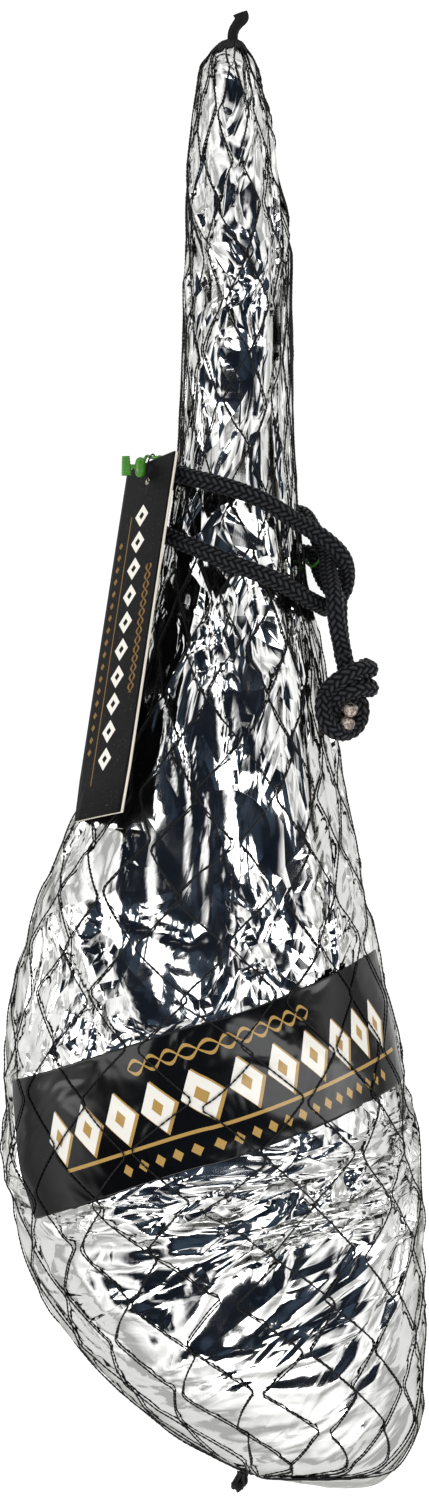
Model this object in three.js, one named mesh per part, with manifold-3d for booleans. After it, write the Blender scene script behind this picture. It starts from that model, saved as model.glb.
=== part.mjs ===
// A whole cured ham with its hoof on, as it is sold: wrapped in metallised film, labelled, drawn
// into a knitted net and roped round the shank, with a card tag held by a green seal.
// It lies on its flat side. Millimetres, +Z up, +Y from the butt towards the hoof. The origin is
// on the surface that the ham rests on, under the middle of its length and width.
import * as THREE from "three";
import { mergeVertices } from "three/addons/utils/BufferGeometryUtils.js";
import Module from "manifold-3d";

const wasm = await Module();
wasm.setup();

// ---- Driving dimensions -------------------------------------------------------------------
const NET_THICK = 1.2; // the layer that one knitted strand takes up
const LABEL_THICK = 0.6;
const FILM_THICK = 1.0; // crumpled film, measured over its small folds
const LAYER_GAP = 0.4; // air between two layers that touch
const CHORD_GAP = 1.5; // the same where the label bends less sharply than the net's flat facets
const MOUTH_RADIUS = 4; // opening left where the film and the net are gathered at the hoof
const ROPE_RADIUS = 4.5;
const STRAP_RADIUS = 0.9;
const STRING_RADIUS = 0.5;
const TAG = { width: 52, length: 200, thick: 1.5, hole: 2, holeDown: 12 };

// How deep each layer lies under the net's outer face.
const LABEL_DEPTH = NET_THICK + CHORD_GAP;
const FILM_DEPTH = LABEL_DEPTH + LABEL_THICK + LAYER_GAP;
const HAM_DEPTH = FILM_DEPTH + FILM_THICK + LAYER_GAP;

// Sections of the netted leg, from the hoof to the butt: y, left edge, right edge, underside, top.
const STATIONS = [
  [393.5, 8, 9.5, 27, 28.5],
  [391, 2, 15, 24, 32],
  [386, -3.5, 18.5, 18, 37.5],
  [378, -9, 23, 12, 43.5],
  [366, -11, 26, 9, 46],
  [353, -13, 30, 6, 48.5],
  [327, -17.5, 35.5, 2, 52.5],
  [300, -20.5, 40.5, 0, 56],
  [272, -19.5, 44, 0, 57],
  [245, -19, 45, 2, 57],
  [191, -20.5, 45.5, 8, 61],
  [152, -22.5, 46, 12, 67],
  [104, -28.5, 50, 12.5, 75],
  [54, -42.5, 58, 10, 85],
  [0, -62.5, 67.5, 6.5, 96],
  [-55, -87, 77.5, 2, 107],
  [-109, -106, 88.5, -1, 117],
  [-150, -114, 97.5, -3, 124],
  [-191, -116, 106.5, -4, 128],
  [-232, -115, 111.5, -4, 128],
  [-272, -105, 113, -3, 123],
  [-310, -86, 115, -1, 115],
  [-343, -59.5, 114, 4, 106],
  [-365, -37.5, 112.5, 9, 96],
  [-381, -13, 106, 15, 86],
  [-393, 12, 98.5, 23, 74],
  [-401, 36, 92, 32, 61],
  [-405.5, 54, 83, 39.5, 50.5],
  [-407, 66, 72, 44, 46],
];
const SECTION_POWER = 2.25; // 2 is an ellipse, more is squarer
const AROUND = 26;
const ALONG = 30;

// ---- The netted leg's outer surface -----------------------------------------------------------
const HOOF_Y = STATIONS[0][0];
const BUTT_Y = STATIONS[STATIONS.length - 1][0];
const sectionCurve = (column) =>
  new THREE.CatmullRomCurve3(
    STATIONS.map((station) => new THREE.Vector3(station[0], station[column])),
    false,
    "centripetal",
  );
const sectionCurves = [1, 2, 3, 4].map(sectionCurve);

// The left edge, right edge, underside and top of the section at y, by halving along each curve.
function sectionAt(y) {
  return sectionCurves.map((curve) => {
    let near = 0;
    let far = 1;
    for (let halving = 0; halving < 30; halving++) {
      const middle = (near + far) / 2;
      if (curve.getPoint(middle).x > y) near = middle;
      else far = middle;
    }
    return curve.getPoint(near).y;
  });
}

const signedPower = (value, exponent) =>
  Math.sign(value) * Math.abs(value) ** exponent;

// A point of the leg before it is pressed flat underneath. Angle 0 is +X, a quarter turn is up.
function legPoint(angle, y) {
  const [left, right, under, top] = sectionAt(y);
  const across = signedPower(Math.cos(angle), 2 / SECTION_POWER);
  const upward = signedPower(Math.sin(angle), 2 / SECTION_POWER);
  return new THREE.Vector3(
    (left + right) / 2 + ((right - left) / 2) * across,
    y,
    (under + top) / 2 + ((top - under) / 2) * upward,
  );
}

// The outward normal there, from two short steps along the surface.
function legNormal(angle, y) {
  const turn = 0.02;
  const step = 0.5;
  const across = legPoint(angle + turn, y).sub(legPoint(angle - turn, y));
  const along = legPoint(angle, Math.min(y + step, HOOF_Y)).sub(
    legPoint(angle, Math.max(y - step, BUTT_Y)),
  );
  return along.cross(across).normalize();
}

// A point at a height over the net's outer face, where a negative height is under it. Each layer
// is pressed flat on the surface that the ham rests on.
function over(angle, y, height) {
  const point = legPoint(angle, y);
  point.addScaledVector(legNormal(angle, y), height);
  point.z = Math.max(point.z, -height);
  return point;
}

// ---- Geometry helpers -----------------------------------------------------------------------
const degrees = THREE.MathUtils.degToRad;
const vector = ([x, y, z]) => new THREE.Vector3(x, y, z);

const geometryOf = (points, faces) =>
  new THREE.BufferGeometry().setFromPoints(points).setIndex(faces.flat());

const middleOf = (points) =>
  points
    .reduce((sum, point) => sum.add(point), new THREE.Vector3())
    .divideScalar(points.length);

// Triangles between rings that run from the hoof to the butt. A pole closes an end.
function ringFaces(rings, size, firstPole, lastPole) {
  const faces = [];
  for (let k = 0; k < size; k++) {
    const next = (k + 1) % size;
    for (let ring = 0; ring < rings - 1; ring++) {
      const [a, b] = [ring * size + k, ring * size + next];
      faces.push([a, b, a + size], [b, b + size, a + size]);
    }
    const last = (rings - 1) * size;
    if (firstPole) faces.push([firstPole, next, k]);
    if (lastPole) faces.push([last + k, last + next, lastPole]);
  }
  return faces;
}

// Rings of the leg at a depth, closer together at its two rounded ends.
function legRings(depth) {
  const end = depth + 1;
  const rings = [];
  for (let ring = 0; ring < ALONG; ring++) {
    const even = ring / (ALONG - 1);
    const eased = (1 - Math.cos(Math.PI * even)) / 2;
    const share = 0.4 * even + 0.6 * eased;
    const y = THREE.MathUtils.lerp(HOOF_Y - end, BUTT_Y + end, share);
    for (let k = 0; k < AROUND; k++)
      rings.push(over((2 * Math.PI * k) / AROUND, y, -depth));
  }
  return rings;
}

const poleOf = (ring, rise) =>
  middleOf(ring).add(new THREE.Vector3(0, rise, 0));

// One solid leg at a depth.
function solidLeg(depth) {
  const rings = legRings(depth);
  const count = rings.length;
  const poles = [
    poleOf(rings.slice(0, AROUND), 0.5),
    poleOf(rings.slice(-AROUND), -0.5),
  ];
  const faces = ringFaces(ALONG, AROUND, count, count + 1);
  return geometryOf([...rings, ...poles], faces);
}

// A sleeve between two depths, closed at the butt, with a round mouth at the hoof.
function sleeve(depth, thick) {
  const walls = [depth, depth + thick].map((wallDepth) => {
    const rings = legRings(wallDepth);
    const first = rings.slice(0, AROUND);
    const centre = middleOf(first);
    const mouth = first.map((point) => {
      const spoke = point.clone().sub(centre).setY(0).setLength(MOUTH_RADIUS);
      return centre.clone().add(spoke).add(new THREE.Vector3(0, 0.5, 0));
    });
    return [...mouth, ...rings, poleOf(rings.slice(-AROUND), -0.5)];
  });
  const size = walls[0].length;
  const outside = ringFaces(ALONG + 1, AROUND, null, size - 1);
  const inside = outside.map(([a, b, c]) => [a + size, c + size, b + size]);
  const rim = [];
  for (let k = 0; k < AROUND; k++) {
    const next = (k + 1) % AROUND;
    rim.push([k, size + k, next], [next, size + k, size + next]);
  }
  return geometryOf(walls.flat(), [...outside, ...inside, ...rim]);
}

// A closed plate between an outer and an inner sheet, each a function of two shares, 0 to 1.
function plate(columns, rows, outer, inner) {
  const points = [outer, inner].flatMap((sheet) => {
    const grid = [];
    for (let i = 0; i <= columns; i++)
      for (let j = 0; j <= rows; j++) grid.push(sheet(i / columns, j / rows));
    return grid;
  });
  const below = (columns + 1) * (rows + 1);
  const at = (i, j) => i * (rows + 1) + j;
  const faces = [];
  for (let i = 0; i < columns; i++)
    for (let j = 0; j < rows; j++) {
      const [a, b, c, d] = [at(i, j), at(i + 1, j), at(i + 1, j + 1), at(i, j + 1)];
      faces.push([a, b, c], [a, c, d]);
      faces.push([below + a, below + c, below + b], [below + a, below + d, below + c]);
    }
  const rim = [];
  for (let i = 0; i < columns; i++) rim.push(at(i, 0));
  for (let j = 0; j < rows; j++) rim.push(at(columns, j));
  for (let i = columns; i > 0; i--) rim.push(at(i, rows));
  for (let j = rows; j > 0; j--) rim.push(at(0, j));
  rim.forEach((a, k) => {
    const b = rim[(k + 1) % rim.length];
    faces.push([a, below + a, b], [b, below + a, below + b]);
  });
  return geometryOf(points, faces);
}

// A solid cord with flat ends, of an oval section along a curve.
function cord(points, halfWidth, halfThick, sides, steps) {
  const section = new THREE.Shape();
  section.absellipse(0, 0, halfThick, halfWidth, 0, 2 * Math.PI);
  const curve = new THREE.CatmullRomCurve3(points.map(vector), false, "centripetal");
  return new THREE.ExtrudeGeometry(section, {
    extrudePath: curve,
    steps,
    curveSegments: sides / 2,
    bevelEnabled: false,
  });
}

const ropeTube = (points, steps) =>
  cord(points, ROPE_RADIUS, ROPE_RADIUS, 8, steps);

function toManifold(geometry) {
  const bare = geometry.clone();
  bare.deleteAttribute("normal");
  bare.deleteAttribute("uv");
  const merged = mergeVertices(bare, 1e-4);
  return new wasm.Manifold(
    new wasm.Mesh({
      numProp: 3,
      vertProperties: new Float32Array(merged.attributes.position.array),
      triVerts: new Uint32Array(merged.index.array),
    }),
  );
}

function fromManifold(solid) {
  const mesh = solid.getMesh();
  const geometry = new THREE.BufferGeometry();
  geometry.setAttribute(
    "position",
    new THREE.BufferAttribute(mesh.vertProperties, mesh.numProp),
  );
  return geometry.setIndex(new THREE.BufferAttribute(mesh.triVerts, 1));
}

const joined = (geometries) =>
  geometries.map(toManifold).reduce((sum, next) => sum.add(next));

// ---- Materials --------------------------------------------------------------------------------
const finish = (color, roughness, metalness) =>
  new THREE.MeshStandardMaterial({ color, roughness, metalness });
const CURED_SKIN = finish(0x9a6a3c, 0.6, 0);
const METALLISED_FILM = finish(0xd9dce0, 0.15, 1);
const PRINTED_FILM = finish(0x16161a, 0.3, 0);
const KNITTED_NET = finish(0x101012, 0.7, 0);
const BLACK_CARD = finish(0x1b1a1c, 0.45, 0);
const GREEN_PLASTIC = finish(0x3c7d22, 0.4, 0);
const BRAIDED_ROPE = finish(0x17181b, 0.8, 0);
const MELTED_ROPE = finish(0x8a7568, 0.25, 0);

const part = new THREE.Group();
function addPiece(name, geometry, material) {
  const mesh = new THREE.Mesh(geometry, material);
  mesh.name = name;
  part.add(mesh);
  return mesh;
}

// ---- Ham, film, label and net -------------------------------------------------------------------
addPiece("ham", solidLeg(HAM_DEPTH), CURED_SKIN);
addPiece("film_wrap", sleeve(FILM_DEPTH, FILM_THICK), METALLISED_FILM);
addPiece("net", sleeve(0, NET_THICK), KNITTED_NET);

// The label crosses the belly, under the net and over the film. Its corners are angles round the
// leg and places along it, and its long edges run straight as seen from above.
const LABEL_CORNERS = {
  lowLeft: [degrees(148.5), -249],
  lowRight: [degrees(2), -175.5],
  highLeft: [degrees(159.5), -176.5],
  highRight: [degrees(12), -108],
};
function labelEdge([leftAngle, leftY], [rightAngle, rightY]) {
  const { lerp, inverseLerp } = THREE.MathUtils;
  return (along) => {
    const angle = lerp(leftAngle, rightAngle, along);
    const crossed = inverseLerp(Math.cos(leftAngle), Math.cos(rightAngle), Math.cos(angle));
    return [angle, lerp(leftY, rightY, crossed)];
  };
}
function labelSheet(depth) {
  const low = labelEdge(LABEL_CORNERS.lowLeft, LABEL_CORNERS.lowRight);
  const high = labelEdge(LABEL_CORNERS.highLeft, LABEL_CORNERS.highRight);
  return (along, across) => {
    const [angle, y] = [0, 1].map((item) =>
      THREE.MathUtils.lerp(low(along)[item], high(along)[item], across),
    );
    return over(angle, y, -depth);
  };
}
addPiece(
  "label_band",
  plate(22, 5, labelSheet(LABEL_DEPTH), labelSheet(LABEL_DEPTH + LABEL_THICK)),
  PRINTED_FILM,
);

// The net's gathered ends: a flat pleated tail past the hoof, and a short tuft at the butt.
const HOOF_TAIL = [
  [9, 394.4, 28],
  [10, 397, 28],
  [12, 400, 27.5],
  [14, 403.5, 27],
  [13, 407, 26.5],
];
const BUTT_TUFT = [
  [15, -398.5, 46],
  [14, -401, 44],
  [13, -404, 42],
];
addPiece("net_hoof_tail", cord(HOOF_TAIL, 3.6, 1.6, 10, 10), KNITTED_NET);
addPiece("net_butt_tuft", cord(BUTT_TUFT, 5, 3, 10, 6), KNITTED_NET);

// ---- Rope -----------------------------------------------------------------------------------------
// A lark's head round the shank. The bight crosses the top twice, its loop lies on the right, and
// both tails come up through the loop and over its lower side. The seal's strap passes under the
// first turn, which rides up on it there.
const REST_GAP = 0.9; // air between the net and what is tied round it
const ROPE_HEIGHT = ROPE_RADIUS + REST_GAP;
const RIDE_UP = 2 * STRAP_RADIUS + LAYER_GAP;
const onShank = (height, route) =>
  route.map(([angle, y, lift = 0]) =>
    over(degrees(angle), y, height + lift).toArray(),
  );
const NOOSE = [
  [53.5, 119, 37],
  [52.8, 121, 34.8],
  ...onShank(ROPE_HEIGHT, [
    [330, 129],
    [300, 133, RIDE_UP],
    [270, 138, RIDE_UP],
    [240, 143, RIDE_UP],
    [210, 147],
    [180, 149],
    [150, 148],
    [120, 143],
    [95, 138],
    [75, 132],
    [58, 126],
  ]),
  [42, 122, 68],
  [48.5, 118.5, 66.5],
  [55, 114.5, 66],
  [61, 110, 65],
  [67.3, 104, 61.5],
  [70.3, 97.5, 54],
  [70.6, 90.5, 49],
  [68.8, 84.5, 46],
  [64.5, 79.5, 45.5],
  [61, 76.5, 47],
  ...onShank(ROPE_HEIGHT, [
    [22, 75.5],
    [42, 79.5],
    [65, 88],
    [95, 98],
    [120, 106],
    [150, 113],
    [180, 117],
    [210, 117],
    [240, 115],
    [270, 112],
    [300, 109],
    [330, 107.5],
  ]),
  [54.9, 105.6, 32.2],
  [55.3, 103.6, 34.2],
];
const TAIL_UPPER = [
  [53.6, 118.7, 37.4],
  [55.5, 114.5, 43],
  [59, 108.5, 45.5],
  [60.7, 102, 50.5],
  [60.8, 95.5, 59],
  [61.8, 88.5, 68],
  [62.9, 81, 76],
  [63.3, 74, 79.5],
  [64.3, 66, 79],
  [66, 58, 76],
  [68.1, 50.5, 72.6],
];
const TAIL_LOWER = [
  [55.4, 103.2, 34.6],
  [56.5, 98, 39.5],
  [59, 91, 47.5],
  [63, 84.5, 56],
  [65.9, 77.5, 65],
  [65.8, 69.5, 68],
  [66.8, 60, 66],
  [68, 51, 62.2],
];
addPiece("rope_noose", ropeTube(NOOSE, 60), BRAIDED_ROPE);
addPiece("rope_tail_upper", ropeTube(TAIL_UPPER, 10), BRAIDED_ROPE);
addPiece("rope_tail_lower", ropeTube(TAIL_LOWER, 9), BRAIDED_ROPE);

// The doubled overhand knot: two wraps that turn over the tails, the body under them, and in its
// eye the rope's two ends, melted so that they don't fray.
const KNOT_OUTER_WRAP = [
  [80, 43.5, 66],
  [82, 41.5, 75],
  [75, 41, 82],
  [68, 37.5, 84.5],
  [62.5, 33.5, 82.5],
  [58.5, 28.5, 79.5],
  [57, 22.5, 81.5],
  [57.5, 16.5, 82],
  [60, 11.5, 81],
  [64, 8.5, 78],
  [69, 8, 72.5],
  [74, 10.5, 70],
  [77, 15.5, 69],
  [77.5, 21.5, 70],
  [75.5, 27, 70],
];
const KNOT_INNER_WRAP = [
  [80, 33.5, 65],
  [82.5, 31.5, 72],
  [77.5, 31.5, 79],
  [72, 30.5, 81.5],
  [67.5, 28.5, 80.5],
  [64, 24.5, 78],
  [62.5, 19, 74],
  [65.5, 14.5, 71.5],
];
const KNOT_BODY = [
  [68.6, 48.9, 67.2],
  [71, 38, 68],
  [72.5, 28, 67],
  [72.5, 18, 65],
];
const knotSolid = (grow) =>
  joined([
    cord(KNOT_OUTER_WRAP, ROPE_RADIUS + grow, ROPE_RADIUS + grow, 8, 30),
    cord(KNOT_INNER_WRAP, ROPE_RADIUS + grow, ROPE_RADIUS + grow, 8, 16),
    cord(KNOT_BODY, 7.5 + grow, 7.5 + grow, 12, 6),
  ]);
addPiece("rope_knot", fromManifold(knotSolid(0)), BRAIDED_ROPE);

const ROPE_ENDS = [
  [71.5, 20, 73.5],
  [70, 12.5, 71.5],
];
ROPE_ENDS.forEach((place, k) => {
  const end = new THREE.CapsuleGeometry(3.8, 5, 5, 12).rotateX(Math.PI / 2);
  end.translate(...place);
  const solid = toManifold(end).subtract(knotSolid(LAYER_GAP));
  addPiece(`rope_end_${k + 1}`, fromManifold(solid), MELTED_ROPE);
});

// ---- Tag ------------------------------------------------------------------------------------------
// A thick card that leans on the left flank. It stands on its long edge more than it lies.
const TAG_PLACE = { middle: [-48.7, 59.4, 74], turn: -8.1, pitch: -13.5, roll: -59.6 };
function tagShape() {
  const [halfWidth, halfLength] = [TAG.width / 2, TAG.length / 2];
  const shape = new THREE.Shape([
    new THREE.Vector2(-halfWidth, -halfLength),
    new THREE.Vector2(halfWidth, -halfLength),
    new THREE.Vector2(halfWidth, halfLength),
    new THREE.Vector2(-halfWidth, halfLength),
  ]);
  const hole = new THREE.Path();
  hole.absarc(0, halfLength - TAG.holeDown, TAG.hole, 0, 2 * Math.PI, true);
  shape.holes.push(hole);
  return shape;
}
const tagFrame = new THREE.Group();
tagFrame.position.set(...TAG_PLACE.middle);
tagFrame.rotation.set(
  degrees(TAG_PLACE.pitch),
  degrees(TAG_PLACE.roll),
  degrees(TAG_PLACE.turn),
  "ZXY",
);
part.add(tagFrame);
tagFrame.updateMatrixWorld(true);
const tagSolid = new THREE.ExtrudeGeometry(tagShape(), {
  depth: TAG.thick,
  bevelEnabled: false,
  curveSegments: 8,
});
tagFrame.add(addPiece("tag", tagSolid.translate(0, 0, -TAG.thick / 2), BLACK_CARD));

// Its string, a small loop through the hole and round the top edge.
const STRING_LOOP = { radius: 8, flat: 0.3 };
const stringSolid = new THREE.TorusGeometry(STRING_LOOP.radius, STRING_RADIUS, 6, 24);
stringSolid.scale(1, STRING_LOOP.flat, 1).rotateY(Math.PI / 2).rotateX(Math.PI / 2);
stringSolid.translate(0, TAG.length / 2 - TAG.holeDown + STRING_LOOP.radius, 0);
tagFrame.add(addPiece("tag_string", stringSolid, KNITTED_NET));

// ---- Seal -----------------------------------------------------------------------------------------
// A pull-tight seal: a ribbed grip, a rounded lock beside it, and the strap from the lock through
// the tag's string and round the back of the shank to its cut tip.
const SEAL_Z = 53;
const pastTopEdge = [
  [-4, 3.5, 1.5],
  [0, 2, 0],
  [3, 2.5, -2],
].map(([x, y, z]) =>
  tagFrame.localToWorld(new THREE.Vector3(x, TAG.length / 2 + y, z)),
);
const STRAP = [
  [-40, 152.5, SEAL_Z],
  ...pastTopEdge.map((point) => point.toArray()),
  [-29, 158.5, 45],
  ...onShank(STRAP_RADIUS + REST_GAP, [
    [172, 158],
    [190, 157.5],
    [212, 156],
    [240, 150],
    [270, 141],
    [300, 128],
    [330, 117],
    [350, 111],
  ]),
  [52.8, 107, 46.5],
  [54.8, 103, 50.5],
];
const sealGrip = new THREE.CylinderGeometry(2.2, 2.75, 10.6, 16);
sealGrip.translate(-48.8, 152.9, SEAL_Z);
const sealLock = new THREE.CapsuleGeometry(3, 5.3, 6, 16);
sealLock.translate(-41.3, 152.1, SEAL_Z);
const sealBridge = new THREE.CylinderGeometry(1.2, 1.2, 6, 12);
sealBridge.rotateZ(Math.PI / 2).translate(-45, 152.5, SEAL_Z);
addPiece(
  "green_seal",
  fromManifold(
    joined([sealGrip, sealLock, sealBridge, cord(STRAP, STRAP_RADIUS, STRAP_RADIUS, 6, 48)]),
  ),
  GREEN_PLASTIC,
);

part.updateMatrixWorld(true);
export default part;
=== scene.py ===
"""Looks for a cured ham in its selling dress: film, label, net, rope, tag and seal.

The file is laid out as an add-on, with one operator for each group of pieces, and is run as a
script. Shapes are worked out in millimetres and written to the meshes in metres, in the frame of
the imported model: +Z up, +Y from the butt towards the hoof.
"""

import math

import bpy
import numpy as np
from bpy.props import FloatProperty, FloatVectorProperty, IntProperty, PointerProperty
from bpy.types import Operator, Panel, PropertyGroup
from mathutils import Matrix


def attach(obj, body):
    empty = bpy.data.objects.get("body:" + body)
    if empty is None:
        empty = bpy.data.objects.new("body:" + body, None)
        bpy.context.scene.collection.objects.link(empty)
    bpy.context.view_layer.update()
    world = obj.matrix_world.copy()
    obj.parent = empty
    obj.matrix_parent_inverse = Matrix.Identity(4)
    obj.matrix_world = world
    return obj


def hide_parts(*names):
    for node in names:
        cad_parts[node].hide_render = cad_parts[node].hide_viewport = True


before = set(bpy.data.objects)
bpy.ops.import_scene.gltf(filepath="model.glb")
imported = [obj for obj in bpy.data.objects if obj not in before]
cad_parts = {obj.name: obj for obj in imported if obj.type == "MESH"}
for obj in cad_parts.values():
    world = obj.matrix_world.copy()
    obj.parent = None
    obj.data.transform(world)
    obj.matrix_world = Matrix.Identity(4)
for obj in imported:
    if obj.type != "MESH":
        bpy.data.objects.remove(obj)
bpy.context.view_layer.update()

bl_info = {
    "name": "Cured Ham Dress",
    "version": (1, 0, 0),
    "blender": (4, 5, 0),
    "location": "3D View > Sidebar > Cured Ham",
    "description": "Builds the wrapping, net, rope, tag and seal of a whole cured ham",
    "category": "Add Mesh",
}

MM = 0.001
TURN = 2 * math.pi
RIGHT, ALONG, UP = np.eye(3)

# ---- The leg ----
# Sections of the netted leg in mm, from the hoof to the butt: y, left, right, underside, top.
STATIONS = np.array([
    [393.5, 8, 9.5, 27, 28.5],
    [391, 2, 15, 24, 32],
    [386, -3.5, 18.5, 18, 37.5],
    [378, -9, 23, 12, 43.5],
    [366, -11, 26, 9, 46],
    [353, -13, 30, 6, 48.5],
    [327, -17.5, 35.5, 2, 52.5],
    [300, -20.5, 40.5, 0, 56],
    [272, -19.5, 44, 0, 57],
    [245, -19, 45, 2, 57],
    [191, -20.5, 45.5, 8, 61],
    [152, -22.5, 46, 12, 67],
    [104, -28.5, 50, 12.5, 75],
    [54, -42.5, 58, 10, 85],
    [0, -62.5, 67.5, 6.5, 96],
    [-55, -87, 77.5, 2, 107],
    [-109, -106, 88.5, -1, 117],
    [-150, -114, 97.5, -3, 124],
    [-191, -116, 106.5, -4, 128],
    [-232, -115, 111.5, -4, 128],
    [-272, -105, 113, -3, 123],
    [-310, -86, 115, -1, 115],
    [-343, -59.5, 114, 4, 106],
    [-365, -37.5, 112.5, 9, 96],
    [-381, -13, 106, 15, 86],
    [-393, 12, 98.5, 23, 74],
    [-401, 36, 92, 32, 61],
    [-405.5, 54, 83, 39.5, 50.5],
    [-407, 66, 72, 44, 46],
])
SECTION_POWER = 2.25
HOOF_Y, BUTT_Y = STATIONS[0, 0], STATIONS[-1, 0]
# Depths in mm under the netted leg's face: the label, the film's mean surface and the rind.
LABEL_DEPTH, FILM_DEPTH, HAM_DEPTH = 1.5, 2.4, 5.1
# How far the film's creases rise or sink from that mean, and the least gap to the floor, in mm.
FILM_SWING, FLOOR_GAP = 2.3, 0.1
# The label's corners, as angles round the leg in degrees and places along it in mm: its left end
# and then its right end, each from the low edge to the high edge.
LABEL_CORNERS = np.array([[[148.5, -249], [159.5, -176.5]], [[2, -175.5], [12, -108]]], float)

# ---- Cord routes, in metres ----
TAIL_UPPER = [
    (0.0536, 0.1187, 0.0374), (0.0555, 0.1145, 0.043), (0.059, 0.1085, 0.0455),
    (0.0607, 0.102, 0.0505), (0.0608, 0.0955, 0.059), (0.0618, 0.0885, 0.068),
    (0.0629, 0.081, 0.076), (0.0633, 0.074, 0.0795), (0.0643, 0.066, 0.079),
    (0.066, 0.058, 0.076), (0.0681, 0.0505, 0.0726),
]
TAIL_LOWER = [
    (0.0554, 0.1032, 0.0346), (0.0565, 0.098, 0.0395), (0.059, 0.091, 0.0475),
    (0.063, 0.0845, 0.056), (0.0659, 0.0775, 0.065), (0.0658, 0.0695, 0.068),
    (0.0668, 0.06, 0.066), (0.068, 0.051, 0.0622),
]
TAIL_UPPER_LENGTH, TAIL_LOWER_LENGTH = 0.0896, 0.0697
# The noose's free stretches. The stretches that lie on the shank are (angle, y, lift) below.
NOOSE_START = [(0.0535, 0.119, 0.037), (0.0528, 0.121, 0.0348)]
NOOSE_LOOP = [
    (0.042, 0.122, 0.068), (0.0485, 0.1185, 0.0665), (0.055, 0.1145, 0.066),
    (0.061, 0.11, 0.065), (0.0673, 0.104, 0.0615), (0.0703, 0.0975, 0.054),
    (0.0706, 0.0905, 0.049), (0.0688, 0.0845, 0.046), (0.0645, 0.0795, 0.0455),
    (0.061, 0.0765, 0.047),
]
NOOSE_END = [(0.0549, 0.1056, 0.0322), (0.0553, 0.1036, 0.0342)]
# The rope's middle line over the netted leg, and its extra lift where it passes over the seal's strap.
ROPE_HEIGHT, RIDE_UP = 5.4, 2.2
FIRST_TURN = [
    (330, 129, 0), (300, 133, RIDE_UP), (270, 138, RIDE_UP), (240, 143, RIDE_UP),
    (210, 147, 0), (180, 149, 0), (150, 148, 0), (120, 143, 0), (95, 138, 0), (75, 132, 0),
    (58, 126, 0),
]
SECOND_TURN = [
    (22, 75.5, 0), (42, 79.5, 0), (65, 88, 0), (95, 98, 0), (120, 106, 0), (150, 113, 0),
    (180, 117, 0), (210, 117, 0), (240, 115, 0), (270, 112, 0), (300, 109, 0), (330, 107.5, 0),
]
KNOT_OUTER_WRAP = [
    (0.08, 0.0435, 0.066), (0.082, 0.0415, 0.075), (0.075, 0.041, 0.082),
    (0.068, 0.0375, 0.0845), (0.0625, 0.0335, 0.0825), (0.0585, 0.0285, 0.0795),
    (0.057, 0.0225, 0.0815), (0.0575, 0.0165, 0.082), (0.06, 0.0115, 0.081),
    (0.064, 0.0085, 0.078), (0.069, 0.008, 0.0725), (0.074, 0.0105, 0.07),
    (0.077, 0.0155, 0.069), (0.0775, 0.0215, 0.07), (0.0755, 0.027, 0.07),
]
KNOT_INNER_WRAP = [
    (0.08, 0.0335, 0.065), (0.0825, 0.0315, 0.072), (0.0775, 0.0315, 0.079),
    (0.072, 0.0305, 0.0815), (0.0675, 0.0285, 0.0805), (0.064, 0.0245, 0.078),
    (0.0625, 0.019, 0.074), (0.0655, 0.0145, 0.0715),
]
KNOT_CORE_UPPER = [
    (0.0681, 0.0495, 0.0724), (0.0695, 0.042, 0.0728), (0.071, 0.032, 0.0735),
    (0.0715, 0.0235, 0.0735),
]
KNOT_CORE_LOWER = [
    (0.068, 0.05, 0.0622), (0.071, 0.041, 0.0635), (0.0735, 0.029, 0.065),
    (0.073, 0.018, 0.0675), (0.0705, 0.0125, 0.069),
]
KNOT_MIDDLE = np.array([70, 26, 70])
ROPE_ENDS = [(71.5, 20, 73.5), (70, 12.5, 71.5)]
# The strap's middle line over the netted leg, its stretch on the shank, and its cut tip.
STRAP_HEIGHT = 1.8
STRAP_ON_SHANK = [
    (172, 158, 0), (190, 157.5, 0), (212, 156, 0), (240, 150, 0), (270, 141, -0.5),
    (300, 125, -1.0), (318, 114, -1.2), (335, 105, -1.2), (349, 100.3, -0.8),
]
STRAP_TIP = [(53.4, 99, 44.5), (57.3, 103, 50.5)]

# ---- The tag ----
# In mm; the hole is given by its radius and its distance from the top edge.
TAG_WIDTH, TAG_LENGTH, TAG_THICK, TAG_HOLE, TAG_HOLE_DOWN = 52, 200, 1.5, 2, 12
TAG_MIDDLE = np.array([-48.7, 59.4, 74])
TAG_TURN, TAG_PITCH, TAG_ROLL = -8.1, -13.5, -59.6  # degrees about Z, then X, then Y


# ---- Curves and surfaces ----
def smooth_route(points, per_span=24):
    """A centripetal Catmull-Rom curve through the points.

    Each span is the cubic whose end slopes come from the points on either side, each weighted by
    the square root of its distance. The spans' samples are computed as one array.
    """
    points = np.asarray(points, float)
    first, last = 2 * points[:1] - points[1:2], 2 * points[-1:] - points[-2:-1]
    p = np.concatenate([first, points, last])
    gaps = np.linalg.norm(np.diff(p, axis=0), axis=1)[:, None] ** 0.5
    before, here, after = gaps[:-2], gaps[1:-1], gaps[2:]
    a, b, c, d = p[:-3], p[1:-2], p[2:-1], p[3:]
    slope_in = here * ((b - a) / before - (c - a) / (before + here) + (c - b) / here)
    slope_out = here * ((c - b) / here - (d - b) / (here + after) + (d - c) / after)
    t = (np.arange(per_span) / per_span)[None, :, None]
    b, c, slope_in, slope_out = (x[:, None] for x in (b, c, slope_in, slope_out))
    cubic = (
        b
        + slope_in * t
        + (3 * (c - b) - 2 * slope_in - slope_out) * t**2
        + (2 * (b - c) + slope_in + slope_out) * t**3
    )
    return np.concatenate([cubic.reshape(-1, points.shape[1]), points[-1:]])


def evenly(route, step):
    """The route resampled so that its points are about one step apart along it."""
    along = np.concatenate([[0], np.cumsum(np.linalg.norm(np.diff(route, axis=0), axis=1))])
    places = np.linspace(0, along[-1], max(int(round(along[-1] / step)), 2) + 1)
    return np.stack([np.interp(places, along, route[:, k]) for k in range(3)], -1)


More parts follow.
